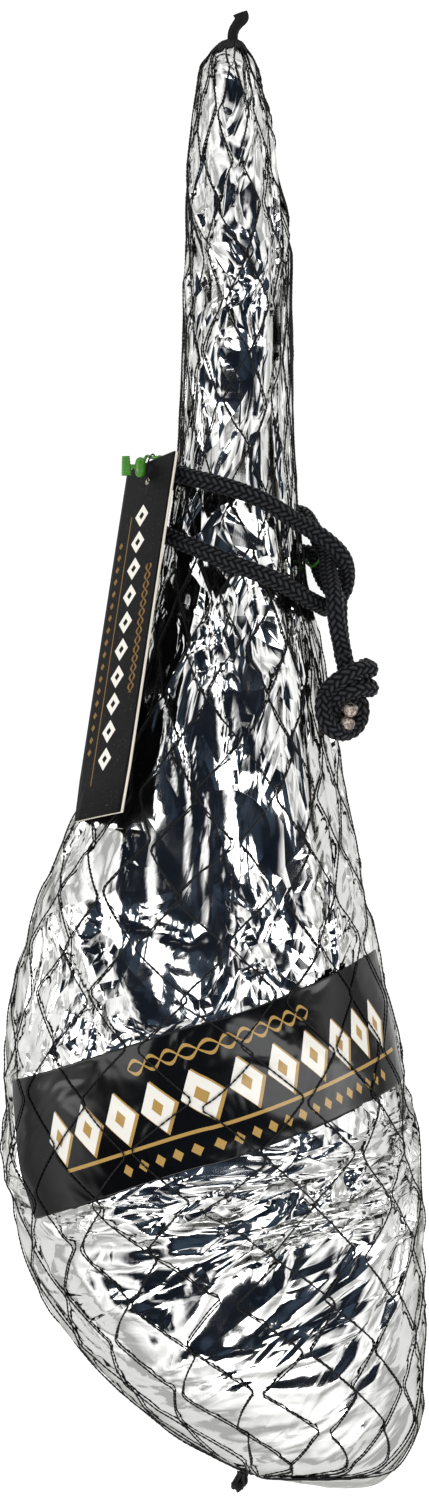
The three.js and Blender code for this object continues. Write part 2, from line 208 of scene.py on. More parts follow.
SECTION_CURVES = [smooth_route(STATIONS[:, [0, k]], 60)[::-1] for k in (1, 2, 3, 4)]


def section(y):
    """The leg's left and right edges, underside and top at y."""
    return [np.interp(y, curve[:, 0], curve[:, 1]) for curve in SECTION_CURVES]


def leg_point(angle, y):
    """The netted leg before it is pressed flat, in mm.

    Its section at y is a superellipse between the left and right edges, the underside and the
    top. Angle 0 is +X and a quarter turn is up.
    """
    left, right, under, top = section(y)
    across, upward = (
        np.sign(f) * np.abs(f) ** (2 / SECTION_POWER) for f in (np.cos(angle), np.sin(angle))
    )
    x = (left + right) / 2 + (right - left) / 2 * across
    z = (under + top) / 2 + (top - under) / 2 * upward
    return np.stack([x, y + 0 * across, z], -1)


def leg_normal(angle, y):
    """The outward normal of leg_point, from two short steps along the surface."""
    turn, step = 0.02, 0.5
    across = leg_point(angle + turn, y) - leg_point(angle - turn, y)
    ahead, behind = np.minimum(y + step, HOOF_Y), np.maximum(y - step, BUTT_Y)
    along = leg_point(angle, ahead) - leg_point(angle, behind)
    return unit(np.cross(along, across))


def unit(vectors):
    """The vectors at length 1."""
    return vectors / np.maximum(np.linalg.norm(vectors, axis=-1, keepdims=True), 1e-12)


def over(angle, y, height):
    """The leg's surface point moved along its normal by height, and kept above the floor.

    A deeper layer is kept higher, so that layers stay apart where the leg is pressed flat.
    """
    point = leg_point(angle, y) + leg_normal(angle, y) * np.asarray(height)[..., None]
    point[..., 2] = np.maximum(point[..., 2], np.maximum(-np.asarray(height), FLOOR_GAP))
    return point


def on_shank(route, height):
    """(angle in degrees, y, lift) places as points that far over the netted leg, in mm."""
    angle, y, lift = np.array(route, float).T
    return over(np.radians(angle), y, height + lift)


def eased_places(count, low, high):
    """Places along the leg from low to high that lie closer together at both ends."""
    even = np.linspace(0, 1, count)
    return low + (high - low) * (0.55 * even + 0.45 * (1 - np.cos(math.pi * even)) / 2)


def spins(count):
    """Angles spread evenly round one turn."""
    return TURN * np.arange(count) / count


def triangle_wave(turns):
    """A zigzag between -1 and 1 that comes round once a turn."""
    return 1 - 4 * np.abs(turns - np.floor(turns) - 0.5)


def smooth_step(low, high, value):
    """0 below low, 1 above high, and a smooth S between."""
    t = np.clip((value - low) / (high - low), 0, 1)
    return t * t * (3 - 2 * t)


def tag_frame():
    """The tag's axes as columns: across it, along it and out of its front face."""
    angles = np.radians([TAG_TURN, TAG_PITCH, TAG_ROLL])
    (cos_z, cos_x, cos_y), (sin_z, sin_x, sin_y) = np.cos(angles), np.sin(angles)
    about_z = np.array([[cos_z, -sin_z, 0], [sin_z, cos_z, 0], [0, 0, 1]])
    about_x = np.array([[1, 0, 0], [0, cos_x, -sin_x], [0, sin_x, cos_x]])
    about_y = np.array([[cos_y, 0, sin_y], [0, 1, 0], [-sin_y, 0, cos_y]])
    return about_z @ about_x @ about_y


def on_tag(local):
    """Places given across, along and out of the tag, from its middle, in the model's frame."""
    return np.asarray(local, float).reshape(-1, 3) @ tag_frame().T + TAG_MIDDLE


# ---- Meshes ----
def grid_quads(rows, columns, closed_rows=False, closed_columns=True):
    """Quads of a grid, and the row and column of each corner, counted past the seam."""
    r, c = np.meshgrid(
        np.arange(rows if closed_rows else rows - 1),
        np.arange(columns if closed_columns else columns - 1),
        indexing="ij",
    )
    corners = np.stack(
        [np.stack([r, c], -1), np.stack([r, c + 1], -1),
         np.stack([r + 1, c + 1], -1), np.stack([r + 1, c], -1)],
        -2,
    ).reshape(-1, 4, 2)
    return corners[..., 0] % rows * columns + corners[..., 1] % columns, corners


def pole_fans(rows, columns, first_pole, last_pole):
    """Triangles from a pole to the grid's first row and from another to its last."""
    k = np.arange(columns)
    following = (k + 1) % columns
    start = (rows - 1) * columns
    first = np.stack([following, k, np.full(columns, first_pole)], -1)
    last = np.stack([start + k, start + following, np.full(columns, last_pole)], -1)
    return np.concatenate([first, last])


def outward(points, quads, triangles):
    """The same faces, turned round if the closed mesh that they make is inside out."""
    fan = np.concatenate([quads[:, [0, 1, 2]], quads[:, [0, 2, 3]], triangles])
    a, b, c = (points[fan[:, k]] for k in range(3))
    if np.einsum("ij,ij->", a, np.cross(b, c)) < 0:
        return quads[:, ::-1], triangles[:, ::-1], True
    return quads, triangles, False


def make_piece(name, points, quads, triangles=None, uv=None, attributes=None, face_finish=None):
    """A mesh object at the origin from points in mm.

    uv is (quads, 4, 2), for the quads only. attributes holds a value for each point by name, and
    face_finish is the number of each face's material.
    """
    triangles = np.zeros((0, 3), int) if triangles is None else triangles
    quads, triangles, turned = outward(points, quads, triangles)
    loops = np.concatenate([quads.ravel(), triangles.ravel()]).astype(np.int32)
    totals = np.repeat([4, 3], [len(quads), len(triangles)]).astype(np.int32)
    mesh = bpy.data.meshes.new(name)
    mesh.vertices.add(len(points))
    mesh.vertices.foreach_set("co", (points * MM).astype(np.float32).ravel())
    mesh.loops.add(len(loops))
    mesh.loops.foreach_set("vertex_index", loops)
    mesh.polygons.add(len(totals))
    starts = (np.cumsum(totals) - totals).astype(np.int32)
    mesh.polygons.foreach_set("loop_start", starts)
    mesh.polygons.foreach_set("use_smooth", np.ones(len(totals), bool))
    if face_finish is not None:
        mesh.polygons.foreach_set("material_index", face_finish.astype(np.int32))
    mesh.update(calc_edges=True)
    if uv is not None:
        uv = uv[:, ::-1] if turned else uv
        flat = np.concatenate([uv.reshape(-1, 2), np.zeros((3 * len(triangles), 2))])
        layer = mesh.uv_layers.new(name="pattern")
        layer.data.foreach_set("uv", flat.astype(np.float32).ravel())
    for label, values in (attributes or {}).items():
        layer = mesh.attributes.new(label, "FLOAT", "POINT")
        layer.data.foreach_set("value", values.astype(np.float32).ravel())
    piece = bpy.data.objects.new(name, mesh)
    bpy.context.scene.collection.objects.link(piece)
    return piece


def ready(piece, slot, *nodes, finishes):
    """Gives the piece its finishes and its body, and hides the CAD nodes that it stands for. slot is
    not used.
    """
    for finish in finishes:
        piece.data.materials.append(finish)
    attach(piece, "root")
    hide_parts(*nodes)
    return piece


def tubes(paths, reference, radius, sides, round_ends=True):
    """Round tubes along paths (tubes, points, 3), all worked out together.

    A ring lies square to the path at each point, and starts at the reference direction made
    square to it. radius is a number or an array (tubes, points, sides). Each end closes with a
    half ball of three rings and a pole, or with a flat fan.
    """
    paths = np.asarray(paths, float)
    count, length = paths.shape[:2]
    tangent = unit(np.gradient(paths, axis=1))
    out = unit(reference - (reference * tangent).sum(-1, keepdims=True) * tangent)
    side = np.cross(tangent, out)
    radius = np.broadcast_to(np.asarray(radius, float), (count, length, sides))
    if round_ends:
        lean = np.radians([75, 50, 25])
        shrink = np.concatenate([np.cos(lean), np.ones(length), np.cos(lean[::-1])])
        reach = np.concatenate([-np.sin(lean), np.zeros(length), np.sin(lean[::-1])])
        index = np.clip(np.arange(-3, length + 3), 0, length - 1)
        size = radius.mean(-1)[:, index, None]
        paths = paths[:, index] + tangent[:, index] * reach[None, :, None] * size
        out, side = out[:, index], side[:, index]
        radius = radius[:, index] * shrink[None, :, None]
        length += 6
    spin = spins(sides)
    ring = out[:, :, None] * np.cos(spin)[:, None] + side[:, :, None] * np.sin(spin)[:, None]
    points = paths[:, :, None] + ring * radius[..., None]
    quads, _ = grid_quads(length, sides)
    fans = pole_fans(length, sides, length * sides, length * sides + 1)
    poles = np.stack([points[:, 0].mean(1), points[:, -1].mean(1)], 1)
    points = np.concatenate([points.reshape(count, -1, 3), poles], 1)
    start = np.arange(count)[:, None, None] * points.shape[1]
    faces = (quads[None] + start).reshape(-1, 4), (fans[None] + start).reshape(-1, 3)
    return points.reshape(-1, 3), *faces


def closed_rings(name, rings, poles):
    """A piece of rings (rows, columns, 3) with a fan of triangles to a pole at each end."""
    rows, columns = rings.shape[:2]
    quads, _ = grid_quads(rows, columns)
    fans = pole_fans(rows, columns, rows * columns, rows * columns + 1)
    return make_piece(name, np.concatenate([rings.reshape(-1, 3), poles]), quads, fans)


def joined(parts):
    """Several (points, quads, triangles) as one."""
    points, quads, triangles = zip(*parts)
    starts = np.cumsum([0] + [len(each) for each in points[:-1]])
    faces = (np.concatenate([f + s for f, s in zip(kind, starts)]) for kind in (quads, triangles))
    return np.concatenate(points), *faces


# ---- Nodes and colours ----
def linear(code):
    """An sRGB hex colour as linear red, green, blue and alpha."""
    channels = np.array([int(code[k : k + 2], 16) for k in (1, 3, 5)]) / 255
    curved = ((channels + 0.055) / 1.055) ** 2.4
    return (*np.where(channels <= 0.04045, channels / 12.92, curved).tolist(), 1.0)


def node(tree, kind, inputs=(), output=0, **settings):
    """Adds a shader node with its settings, sets or links its inputs, and returns one output."""
    made = tree.nodes.new("ShaderNode" + kind)
    for name, value in settings.items():
        setattr(made, name, value)
    for key, value in inputs.items() if isinstance(inputs, dict) else enumerate(inputs):
        if isinstance(value, bpy.types.NodeSocket):
            tree.links.new(value, made.inputs[key])
        else:
            made.inputs[key].default_value = value
    return made.outputs[output] if len(made.outputs) else made


def new_finish(name):
    """An empty material, its node tree and its place on the object in metres."""
    made = bpy.data.materials.new(name)
    made.use_nodes = True
    made.node_tree.nodes.clear()
    return made, made.node_tree, node(made.node_tree, "TexCoord", output=3)


def grained(tree, place, scale, detail, depth, strength, distortion=0.0):
    """A noise with scale features to the metre, and the normal of a face that it raises by depth."""
    noise = {0: place, "Scale": scale, "Detail": detail, "Distortion": distortion}
    grain = node(tree, "TexNoise", noise)
    return grain, node(tree, "Bump", {"Height": grain, "Distance": depth, "Strength": strength})


def shade(tree, **inputs):
    """Principled BSDF to the material's output. An input's name has _ for each space."""
    sockets = {name.replace("_", " "): value for name, value in inputs.items()}
    node(tree, "OutputMaterial", [node(tree, "BsdfPrincipled", sockets)])


def layered(tree, ground, *layers):
    """The ground colour with each layer's colour laid over it in turn, where its share is 1."""
    for share, colour in layers:
        laid = {0: share, 6: ground, 7: colour}
        ground = node(tree, "Mix", laid, output=2, data_type="RGBA")
    return ground


def band(tree, value, low, high):
    """1 where value lies between low and high."""
    above = node(tree, "Math", [value, low], operation="GREATER_THAN")
    below = node(tree, "Math", [value, high], operation="LESS_THAN")
    return node(tree, "Math", [above, below], operation="MULTIPLY")


def lozenge_row(tree, along, across, ends, middle, count, tall, fill=0.9):
    """1 inside a row of count lozenges: |x| / half width + |y| / half height < 1 in each cell.

    The row lies between its ends along the pattern, at middle across it. tall is a lozenge's
    height, and fill is its width as a share of its cell.
    """
    low, high = ends
    cell = node(tree, "MapRange", [along, low, high, 0.0, float(count)], clamp=False)
    share = node(tree, "Math", [cell], operation="FRACT")
    reach = 0.0
    for value, centre, size in ((share, 0.5, fill), (across, middle, tall)):
        away = node(tree, "Math", [value, centre], operation="SUBTRACT")
        away = node(tree, "Math", [away], operation="ABSOLUTE")
        reach = node(tree, "Math", [away, 2 / size, reach], operation="MULTIPLY_ADD")
    inside = node(tree, "Math", [reach, 1.0], operation="LESS_THAN")
    return node(tree, "Math", [inside, band(tree, along, low, high)], operation="MULTIPLY")


def flourish(tree, along, across, ends, middle, waves, swing, thick):
    """1 on a line that swings from side to side like a pen stroke, thicker where it turns."""
    low, high = ends
    turns = node(tree, "Math", [along, TURN * waves / (high - low)], operation="MULTIPLY")
    wave = node(tree, "Math", [turns], operation="SINE")
    line = node(tree, "Math", [wave, swing, middle], operation="MULTIPLY_ADD")
    away = node(tree, "Math", [across, line], operation="SUBTRACT")
    away = node(tree, "Math", [away], operation="ABSOLUTE")
    turning = node(tree, "Math", [wave], operation="ABSOLUTE")
    width = node(tree, "Math", [turning, thick, thick], operation="MULTIPLY_ADD")
    drawn = node(tree, "Math", [away, width], operation="LESS_THAN")
    return node(tree, "Math", [drawn, band(tree, along, low, high)], operation="MULTIPLY")


def ornament(tree, along, across, inks, rule, gold_rows, chain, marks, core):
    """Printed ornament: gold rule, gold rows and chain, then cream marks, then their cores.

    inks are the ground, gold, cream and the cores' ink. rule is its two edges and its two ends.
    chain is flourish's ends, middle, waves, swing and thickness, drawn twice with opposite
    swings. The others are what lozenge_row takes.
    """
    ground, gold, cream, core_ink = inks
    low, high, first, last = rule
    gilt = node(
        tree, "Math", [band(tree, across, low, high), band(tree, along, first, last)],
        operation="MULTIPLY",
    )
    ends, middle, waves, swing, thick = chain
    drawn = [lozenge_row(tree, along, across, *row) for row in gold_rows]
    drawn += [
        flourish(tree, along, across, ends, middle, waves, side * swing, thick) for side in (1, -1)
    ]
    for mask in drawn:
        gilt = node(tree, "Math", [gilt, mask], operation="MAXIMUM")
    marked, cored = (lozenge_row(tree, along, across, *row) for row in (marks, core))
    return layered(tree, ground, (gilt, gold), (marked, cream), (cored, core_ink))


def pattern_place(tree):
    """The two coordinates of the mesh's own printing pattern."""
    split = node(tree, "SeparateXYZ", [node(tree, "UVMap", uv_map="pattern")])
    return split.node.outputs[0], split.node.outputs[1]


# ---- Finishes ----
# Wavelengths in mm and slopes of the creases that are too sharp for the mesh.
FINE_CREASES = [(46, 0.2), (33, 0.24), (25, 0.24), (19, 0.22), (14, 0.2), (10.5, 0.18), (7.5, 0.15)]


def metallised_film(settings):
    """Aluminium metallised polypropylene film, crumpled by hand.

    The metal layer is a mirror, so the eye reads its creases from what each facet reflects.
    Zigzag waves from 46 down to 8 mm long are bump: flat facets with sharp ridges between them,
    patchy like handled film. Each wave also shifts the place where the next ones are read.
    """
    finish, tree, place = new_finish("metallised polypropylene film, crumpled")
    random = np.random.default_rng(settings.seed + 1)
    along = node(tree, "SeparateXYZ", [place], output=1)
    # Facets are long along the leg, and lie aslant from 0.14 to 0.26 m towards the butt.
    lengthwise = node(tree, "VectorMath", [place, (1.0, 0.42, 1.0)], operation="MULTIPLY")
    turned = node(tree, "VectorRotate", {0: place, "Angle": -0.5}, rotation_type="Z_AXIS")
    crosswise = node(tree, "VectorMath", [turned, (0.4, 0.85, 0.7)], operation="MULTIPLY")
    low = node(tree, "MapRange", [along, -0.14, -0.26, 0.0, 1.0])
    spot = node(tree, "Mix", {0: low, 4: lengthwise, 5: crosswise}, output=1, data_type="VECTOR")
    # The creasing is patchy on the belly, full on the shank and slight at the butt's end.
    calm = node(tree, "TexNoise", {0: place, "Scale": 10.0, "Detail": 1.0})
    calm = node(tree, "MapRange", [calm, 0.42, 0.56, 0.25, 1.0])
    shank = node(tree, "MapRange", [along, 0.0, 0.07, 0.0, 1.1])
    calm = node(tree, "Math", [calm, shank], operation="MAXIMUM")
    butt = node(tree, "MapRange", [along, -0.34, -0.27, 0.22, 1.0])
    calm = node(tree, "Math", [calm, butt], operation="MULTIPLY")
    relief = 0.0
    for wavelength, slope in FINE_CREASES:
        length = wavelength * MM
        facing, shift = unit(random.normal(size=3)), unit(random.normal(size=3))
        start = random.random()
        across = tuple(facing / length)
        turns = node(tree, "VectorMath", [spot, across], output=1, operation="DOT_PRODUCT")
        wave = node(tree, "Math", [turns, start], operation="ADD")
        wave = node(tree, "Math", [wave, 0.5], operation="PINGPONG")
        noise = {0: spot, "Scale": 0.45 / length, "Detail": 0.0, "Distortion": start}
        patch = node(tree, "TexNoise", noise)
        patch = node(tree, "MapRange", [patch, 0.42, 0.58, 0.0, slope * length])
        patch = node(tree, "Math", [patch, calm], operation="MULTIPLY")
        relief = node(tree, "Math", [wave, patch, relief], operation="MULTIPLY_ADD")
        aside = tuple(0.7 * length * shift)
        spot = node(tree, "VectorMath", [wave, aside, spot], operation="MULTIPLY_ADD")
    haze = node(tree, "TexNoise", {0: place, "Scale": 45.0, "Detail": 3.0})
    shade(
        tree,
        Base_Color=(*settings.metal, 1.0),
        Metallic=1.0,
        Specular_Tint=linear("#B4B4B1"),
        Roughness=node(tree, "MapRange", [haze, 0.3, 0.75, settings.gloss, settings.gloss + 0.08]),
        Normal=node(tree, "Bump", {"Height": relief, "Distance": 1.0, "Strength": 1.0}),
    )
    return finish


def knitted_yarn(settings):
    """Black polypropylene yarn, knitted: dull, with a faint glint from its filaments."""
    finish, tree, place = new_finish("polypropylene yarn, knitted")
    fibres, bump = grained(tree, place, 2200.0, 2.0, depth=0.0002, strength=0.6)
    colour = layered(tree, linear("#020203"), (fibres, (*settings.yarn, 1.0)))
    shade(tree, Base_Color=colour, Roughness=0.62, IOR=1.49, Specular_IOR_Level=0.25, Normal=bump)
    return finish


def braided_polypropylene(settings):
    """Multifilament polypropylene braid: filaments show on each strand, and its crown carries a
    painted highlight.

    The crown of a strand is painted paler and is shinier, and its sides are painted down to black
    as painted shade, so the eye reads the over and under of the braid.
    """
    finish, tree, place = new_finish("multifilament polypropylene, braided")
    across = node(tree, "Attribute", output=2, attribute_name="strand")
    stray = node(tree, "TexNoise", {0: place, "Scale": 900.0, "Detail": 2.0})
    # Five filament bundles to a strand, drawn as coarse as they need to be seen.
    lines = node(tree, "Math", [across, TURN * 5, stray], operation="MULTIPLY_ADD")
    lines = node(tree, "Math", [lines], operation="SINE")
    lines = node(tree, "MapRange", [lines, -1.0, 1.0, 0.0, 1.0])
    crown = node(tree, "Attribute", output=2, attribute_name="crown")
    # Painted light: the filament lines times the strand's swell, so crowns get a painted highlight and
    # sides fade to black as painted shade.
    highlit = node(tree, "Math", [lines, 0.35, 0.65], operation="MULTIPLY_ADD")
    highlit = node(tree, "Math", [highlit, crown], operation="MULTIPLY")
    highlit = node(tree, "Math", [highlit, 3.4], operation="POWER")
    colour = layered(tree, linear("#010102"), (highlit, (*settings.yarn, 1.0)))
    bump = node(tree, "Bump", {"Height": lines, "Distance": 0.0003, "Strength": 0.5})
    polished = node(tree, "MapRange", [crown, 0.6, 1.0, 0.9, 0.3])
    shade(
        tree, Base_Color=colour, Roughness=polished, IOR=1.49, Specular_IOR_Level=0.14, Normal=bump,
    )
    return finish


def melted_polypropylene():
    """Rope end melted with a flame: glassy brown and milky plastic with soot in its hollows."""
    finish, tree, place = new_finish("polypropylene, flame melted")
    clouds, bump = grained(tree, place, 420.0, 4.0, depth=0.0012, strength=0.7, distortion=1.2)
    soot = node(tree, "TexNoise", {0: place, "Scale": 230.0, "Detail": 2.0})
    milk = node(tree, "MapRange", [clouds, 0.42, 0.62, 0.0, 1.0])
    dark = node(tree, "MapRange", [soot, 0.5, 0.68, 0.0, 1.0])
    brown, white, black = (linear(code) for code in ("#6E5448", "#C9C2B4", "#17120F"))
    colour = layered(tree, brown, (milk, white), (dark, black))
    shade(tree, Base_Color=colour, Roughness=0.18, IOR=1.5, Normal=bump, Coat_Weight=0.4)
    return finish


def printed_film(settings):
    """Gloss black printed label film: deep black that mirrors the lamps, with cream and gold inks.

    The pattern follows the band: one unit of both pattern coordinates is the band's height.
    """
    finish, tree, place = new_finish("biaxial film, gravure printed")
    along, across = pattern_place(tree)
    cream, gold, black = (*settings.cream, 1.0), (*settings.gold, 1.0), (*settings.black, 1.0)
    colour = ornament(
        tree, along, across, (black, gold, cream, gold),
        rule=(0.245, 0.272, 0.5, 2.98),
        gold_rows=[
            # The marks' gold shadow, set off a little from them, and the row of beads.
            ((0.39, 2.94), 0.495, 11, 0.42, 0.94), ((0.86, 2.72), 0.13, 19, 0.1, 0.62),
        ],
        chain=((1.1, 2.2), 0.83, 5.5, 0.05, 0.007),
        marks=((0.38, 2.93), 0.505, 11, 0.39, 0.86),
        core=((0.38, 2.93), 0.505, 11, 0.14, 0.3),
    )
    _, bump = grained(tree, place, 28.0, 2.0, depth=0.004, strength=0.55, distortion=0.8)
    shade(tree, Base_Color=colour, Roughness=0.14, IOR=1.55, Specular_IOR_Level=0.26, Normal=bump)
    return finish


def black_board(settings):
    """Solid-dyed card, laminated and printed: satin black, with fine dust and foil inks.

    One unit of the pattern coordinates is the card's length along it and its width across it.
    """
    finish, tree, place = new_finish("solid-dyed board, laminated")
    across, along = pattern_place(tree)
    cream, gold, black = (*settings.cream, 1.0), (*settings.gold, 1.0), (*settings.board, 1.0)
    colour = ornament(
        tree, along, across, (black, gold, cream, black),
        rule=(0.265, 0.283, 0.09, 0.85),
        gold_rows=[((0.17, 0.79), 0.13, 18, 0.085, 0.6)],
        chain=((0.33, 0.69), 0.8, 7.0, 0.045, 0.008),
        marks=((0.12, 0.88), 0.49, 10, 0.27, 0.84),
        core=((0.12, 0.88), 0.49, 10, 0.1, 0.3),
    )
    dust = node(tree, "TexNoise", {0: place, "Scale": 1300.0, "Detail": 1.0})
    specks = node(tree, "MapRange", [dust, 0.7, 0.78, 0.0, 0.35])
    colour = layered(tree, colour, (specks, linear("#8C8C86")))
    _, bump = grained(tree, place, 350.0, 3.0, depth=0.0002, strength=0.3)
    shade(tree, Base_Color=colour, Roughness=0.5, IOR=1.5, Specular_IOR_Level=0.04, Normal=bump)
    return finish


def cut_board_edge(settings):
    """The card's cut edge: bare cream board with the fibres of its layers."""
    finish, tree, place = new_finish("board, cut edge")
    fibres, bump = grained(tree, place, 1500.0, 3.0, depth=0.0003, strength=0.5)
    colour = layered(tree, linear("#C9BFA8"), (fibres, (*settings.cream, 1.0)))
    shade(tree, Base_Color=colour, Roughness=0.85, IOR=1.47, Normal=bump)
    return finish


def moulded_polyamide(settings):
    """Injection-moulded green polyamide: a slightly waxy gloss over a faintly cloudy colour."""
    finish, tree, place = new_finish("polyamide, injection moulded")
    cloud = node(tree, "TexNoise", {0: place, "Scale": 160.0, "Detail": 2.0})
    deep = tuple(0.55 * c for c in settings.green)
    colour = layered(tree, (*deep, 1.0), (cloud, (*settings.green, 1.0)))
    _, bump = grained(tree, place, 2400.0, 1.0, depth=0.0001, strength=0.25)
    shade(
        tree, Base_Color=colour, Roughness=0.34, IOR=1.53, Normal=bump,
        Subsurface_Weight=0.15, Subsurface_Scale=0.002,
    )
    return finish


def cured_rind():
    """Dry-cured pork rind: mottled amber, waxy and pored, with the hoof dark past 0.3 m."""
    finish, tree, place = new_finish("pork rind, dry cured")
    along = node(tree, "SeparateXYZ", [place], output=1)
    mottle = node(tree, "TexNoise", {0: place, "Scale": 34.0, "Detail": 5.0})
    hoof = node(tree, "MapRange", [along, 0.3, 0.345, 0.0, 1.0])
    brown, amber, horn = (linear(code) for code in ("#7A4A22", "#C08A4C", "#1E1815"))
    colour = layered(tree, brown, (mottle, amber), (hoof, horn))
    pores = node(tree, "TexVoronoi", {0: place, "Scale": 420.0}, output=0)
    bump = node(tree, "Bump", {"Height": pores, "Distance": 0.0006, "Strength": 0.4})
    shade(tree, Base_Color=colour, Roughness=0.45, IOR=1.45, Normal=bump)
    return finish


def light_table():
    """Opal acrylic lit from below: a pale floor on which the object throws almost no shadow."""
    finish, tree, place = new_finish("opal acrylic, back lit")
    cloud = node(tree, "TexNoise", {0: place, "Scale": 2.0, "Detail": 1.0})
    colour = layered(tree, linear("#A6A6A4"), (cloud, linear("#ACACAA")))
    shade(
        tree, Base_Color=colour, Roughness=0.6,
        Emission_Color=(1.0, 1.0, 1.0, 1.0), Emission_Strength=0.72,
    )
    return finish


# ---- Settings ----
def colour_setting(label, about, code):
    """A colour property with an sRGB hex default."""
    return FloatVectorProperty(
        name=label, description=about, default=linear(code)[:3], subtype="COLOR", min=0, max=1
    )


def length_setting(label, about, metres):
    """A length property in metres."""
    return FloatProperty(name=label, description=about, default=metres, unit="LENGTH", precision=5)


class HamFilmSettings(PropertyGroup):
    """The crumpled film"""

    metal: colour_setting("Metal", "Colour of the film's aluminium layer", "#CDCDCC")
    gloss: FloatProperty(
        name="Gloss", description="Roughness of the smoothest film", default=0.06, min=0, max=1
    )
    crease: FloatProperty(
        name="Crease", description="How steep the creases' facets are", default=1.0, min=0, max=3
    )
    seed: IntProperty(name="Seed", description="Which crumple is made", default=11)


class HamLabelSettings(PropertyGroup):
    """The label's inks"""

    black: colour_setting("Black", "Ground of the label", "#070708")
    cream: colour_setting("Cream", "The big marks", "#D9D6CE")
    gold: colour_setting("Gold", "The rule and the small marks", "#A3834A")


class HamNetSettings(PropertyGroup):
    """The net and its yarn"""

    yarn: colour_setting("Yarn", "Colour of the yarn's lit side", "#0E0E10")
    diamonds: IntProperty(
        name="Diamonds", description="Openings round the leg", default=14, min=6, max=30
    )
    opening: length_setting("Opening", "Length of one opening", 0.054)
    strand: length_setting("Strand", "Diameter of one of a wale's two yarns", 0.0006)


class HamRopeSettings(PropertyGroup):
    """The braided rope"""

    # The rope's yarn colour is the painted highlight on the strands' crowns.
    yarn: colour_setting("Yarn", "Colour of the rope's worn filaments", "#3D3E43")
    diameter: length_setting("Diameter", "Over most of the braid", 0.009)
    strands: IntProperty(
        name="Strands", description="Strands that lean each way", default=8, min=4, max=16
    )
    pitch: length_setting("Stitch", "Length of one stitch along the rope", 0.0037)


class HamTagSettings(PropertyGroup):
    """The card tag and the seal"""

    board: colour_setting("Board", "Face of the card", "#0C0C0D")
    cream: colour_setting("Cream", "Cut edge and big marks", "#E3DFD5")
    gold: colour_setting("Gold", "Small marks", "#7E6034")
    green: colour_setting("Seal", "Colour of the seal and its strap", "#3F8A16")


class HamStageSettings(PropertyGroup):
    """The camera and the lamps"""

    camera_height: length_setting("Camera height", "Above the object's middle height", 1.4)
    camera_place: FloatVectorProperty(
        name="Camera place", description="Across and along the floor",
        default=(-0.001, -0.0015), size=2, subtype="XYZ_LENGTH",
    )
    middle_height: length_setting("Middle height", "Where the view's length is measured", 0.06)
    view_length: length_setting("View length", "Length that the view takes in", 0.811)
    lamp_power: FloatProperty(
        name="Lamp power", description="Of each big soft lamp", default=9.0, unit="POWER"
    )


SETTINGS = {
    "film": HamFilmSettings, "label": HamLabelSettings, "net": HamNetSettings,
    "rope": HamRopeSettings, "tag": HamTagSettings, "stage": HamStageSettings,
}


class CuredHamSettings(PropertyGroup):
    """All the settings, kept on the scene"""

    film: PointerProperty(type=HamFilmSettings)
    label: PointerProperty(type=HamLabelSettings)
    net: PointerProperty(type=HamNetSettings)
    rope: PointerProperty(type=HamRopeSettings)
    tag: PointerProperty(type=HamTagSettings)
    stage: PointerProperty(type=HamStageSettings)


# ---- The film's relief ----
FILM_ROWS, FILM_COLUMNS = 340, 288
FILM_PLACES = eased_places(FILM_ROWS, HOOF_Y - FILM_DEPTH - 1, BUTT_Y + 0.3)
FILM_ANGLES = spins(FILM_COLUMNS)
# Wavelengths in mm and the slopes of the zigzag creases, from broad folds to small facets.
CREASES = [
    (90, 0.08), (72, 0.12), (58, 0.15), (47, 0.18), (39, 0.21), (33, 0.22), (28, 0.21),
    (23, 0.2), (19, 0.18), (16, 0.16), (13.5, 0.12),
]
# Long folds on top, in mm: x and y of both ends, height, and the widths of the two sides.
FOLDS = [
    (8, 42, 34, -50, 2.4, 5, 16), (34, -50, 58, -138, 2.6, 5, 18),
    (-50, -40, -50, -138, 2.6, 4, 14), (-40, -20, -34, -130, -1.8, 6, 12),
    (14, 100, -22, 8, 2.0, 4, 13), (30, 84, 58, -16, 2.0, 4, 13), (4, 84, -44, 4, 1.8, 5, 12),
    (-58, -292, 64, -246, 2.6, 6, 14), (-40, -262, 50, -226, -1.8, 5, 12),
    (12, -318, 78, -262, 2.4, 5, 15), (-92, -214, -20, -262, 2.0, 5, 13),
    (-14, 262, -8, 164, 2.0, 3, 9), (-4, 254, 2, 150, 1.8, 3, 8), (22, 330, 30, 240, 2.0, 3, 9),
    (0, 352, 12, 286, 2.2, 3, 10), (10, 286, -2, 214, 2.2, 4, 11), (16, 240, 22, 160, 2.0, 3, 9),
    (-9, 320, -6, 262, -1.8, 5, 9), (84, -60, 96, -150, 2.0, 4, 12),
]


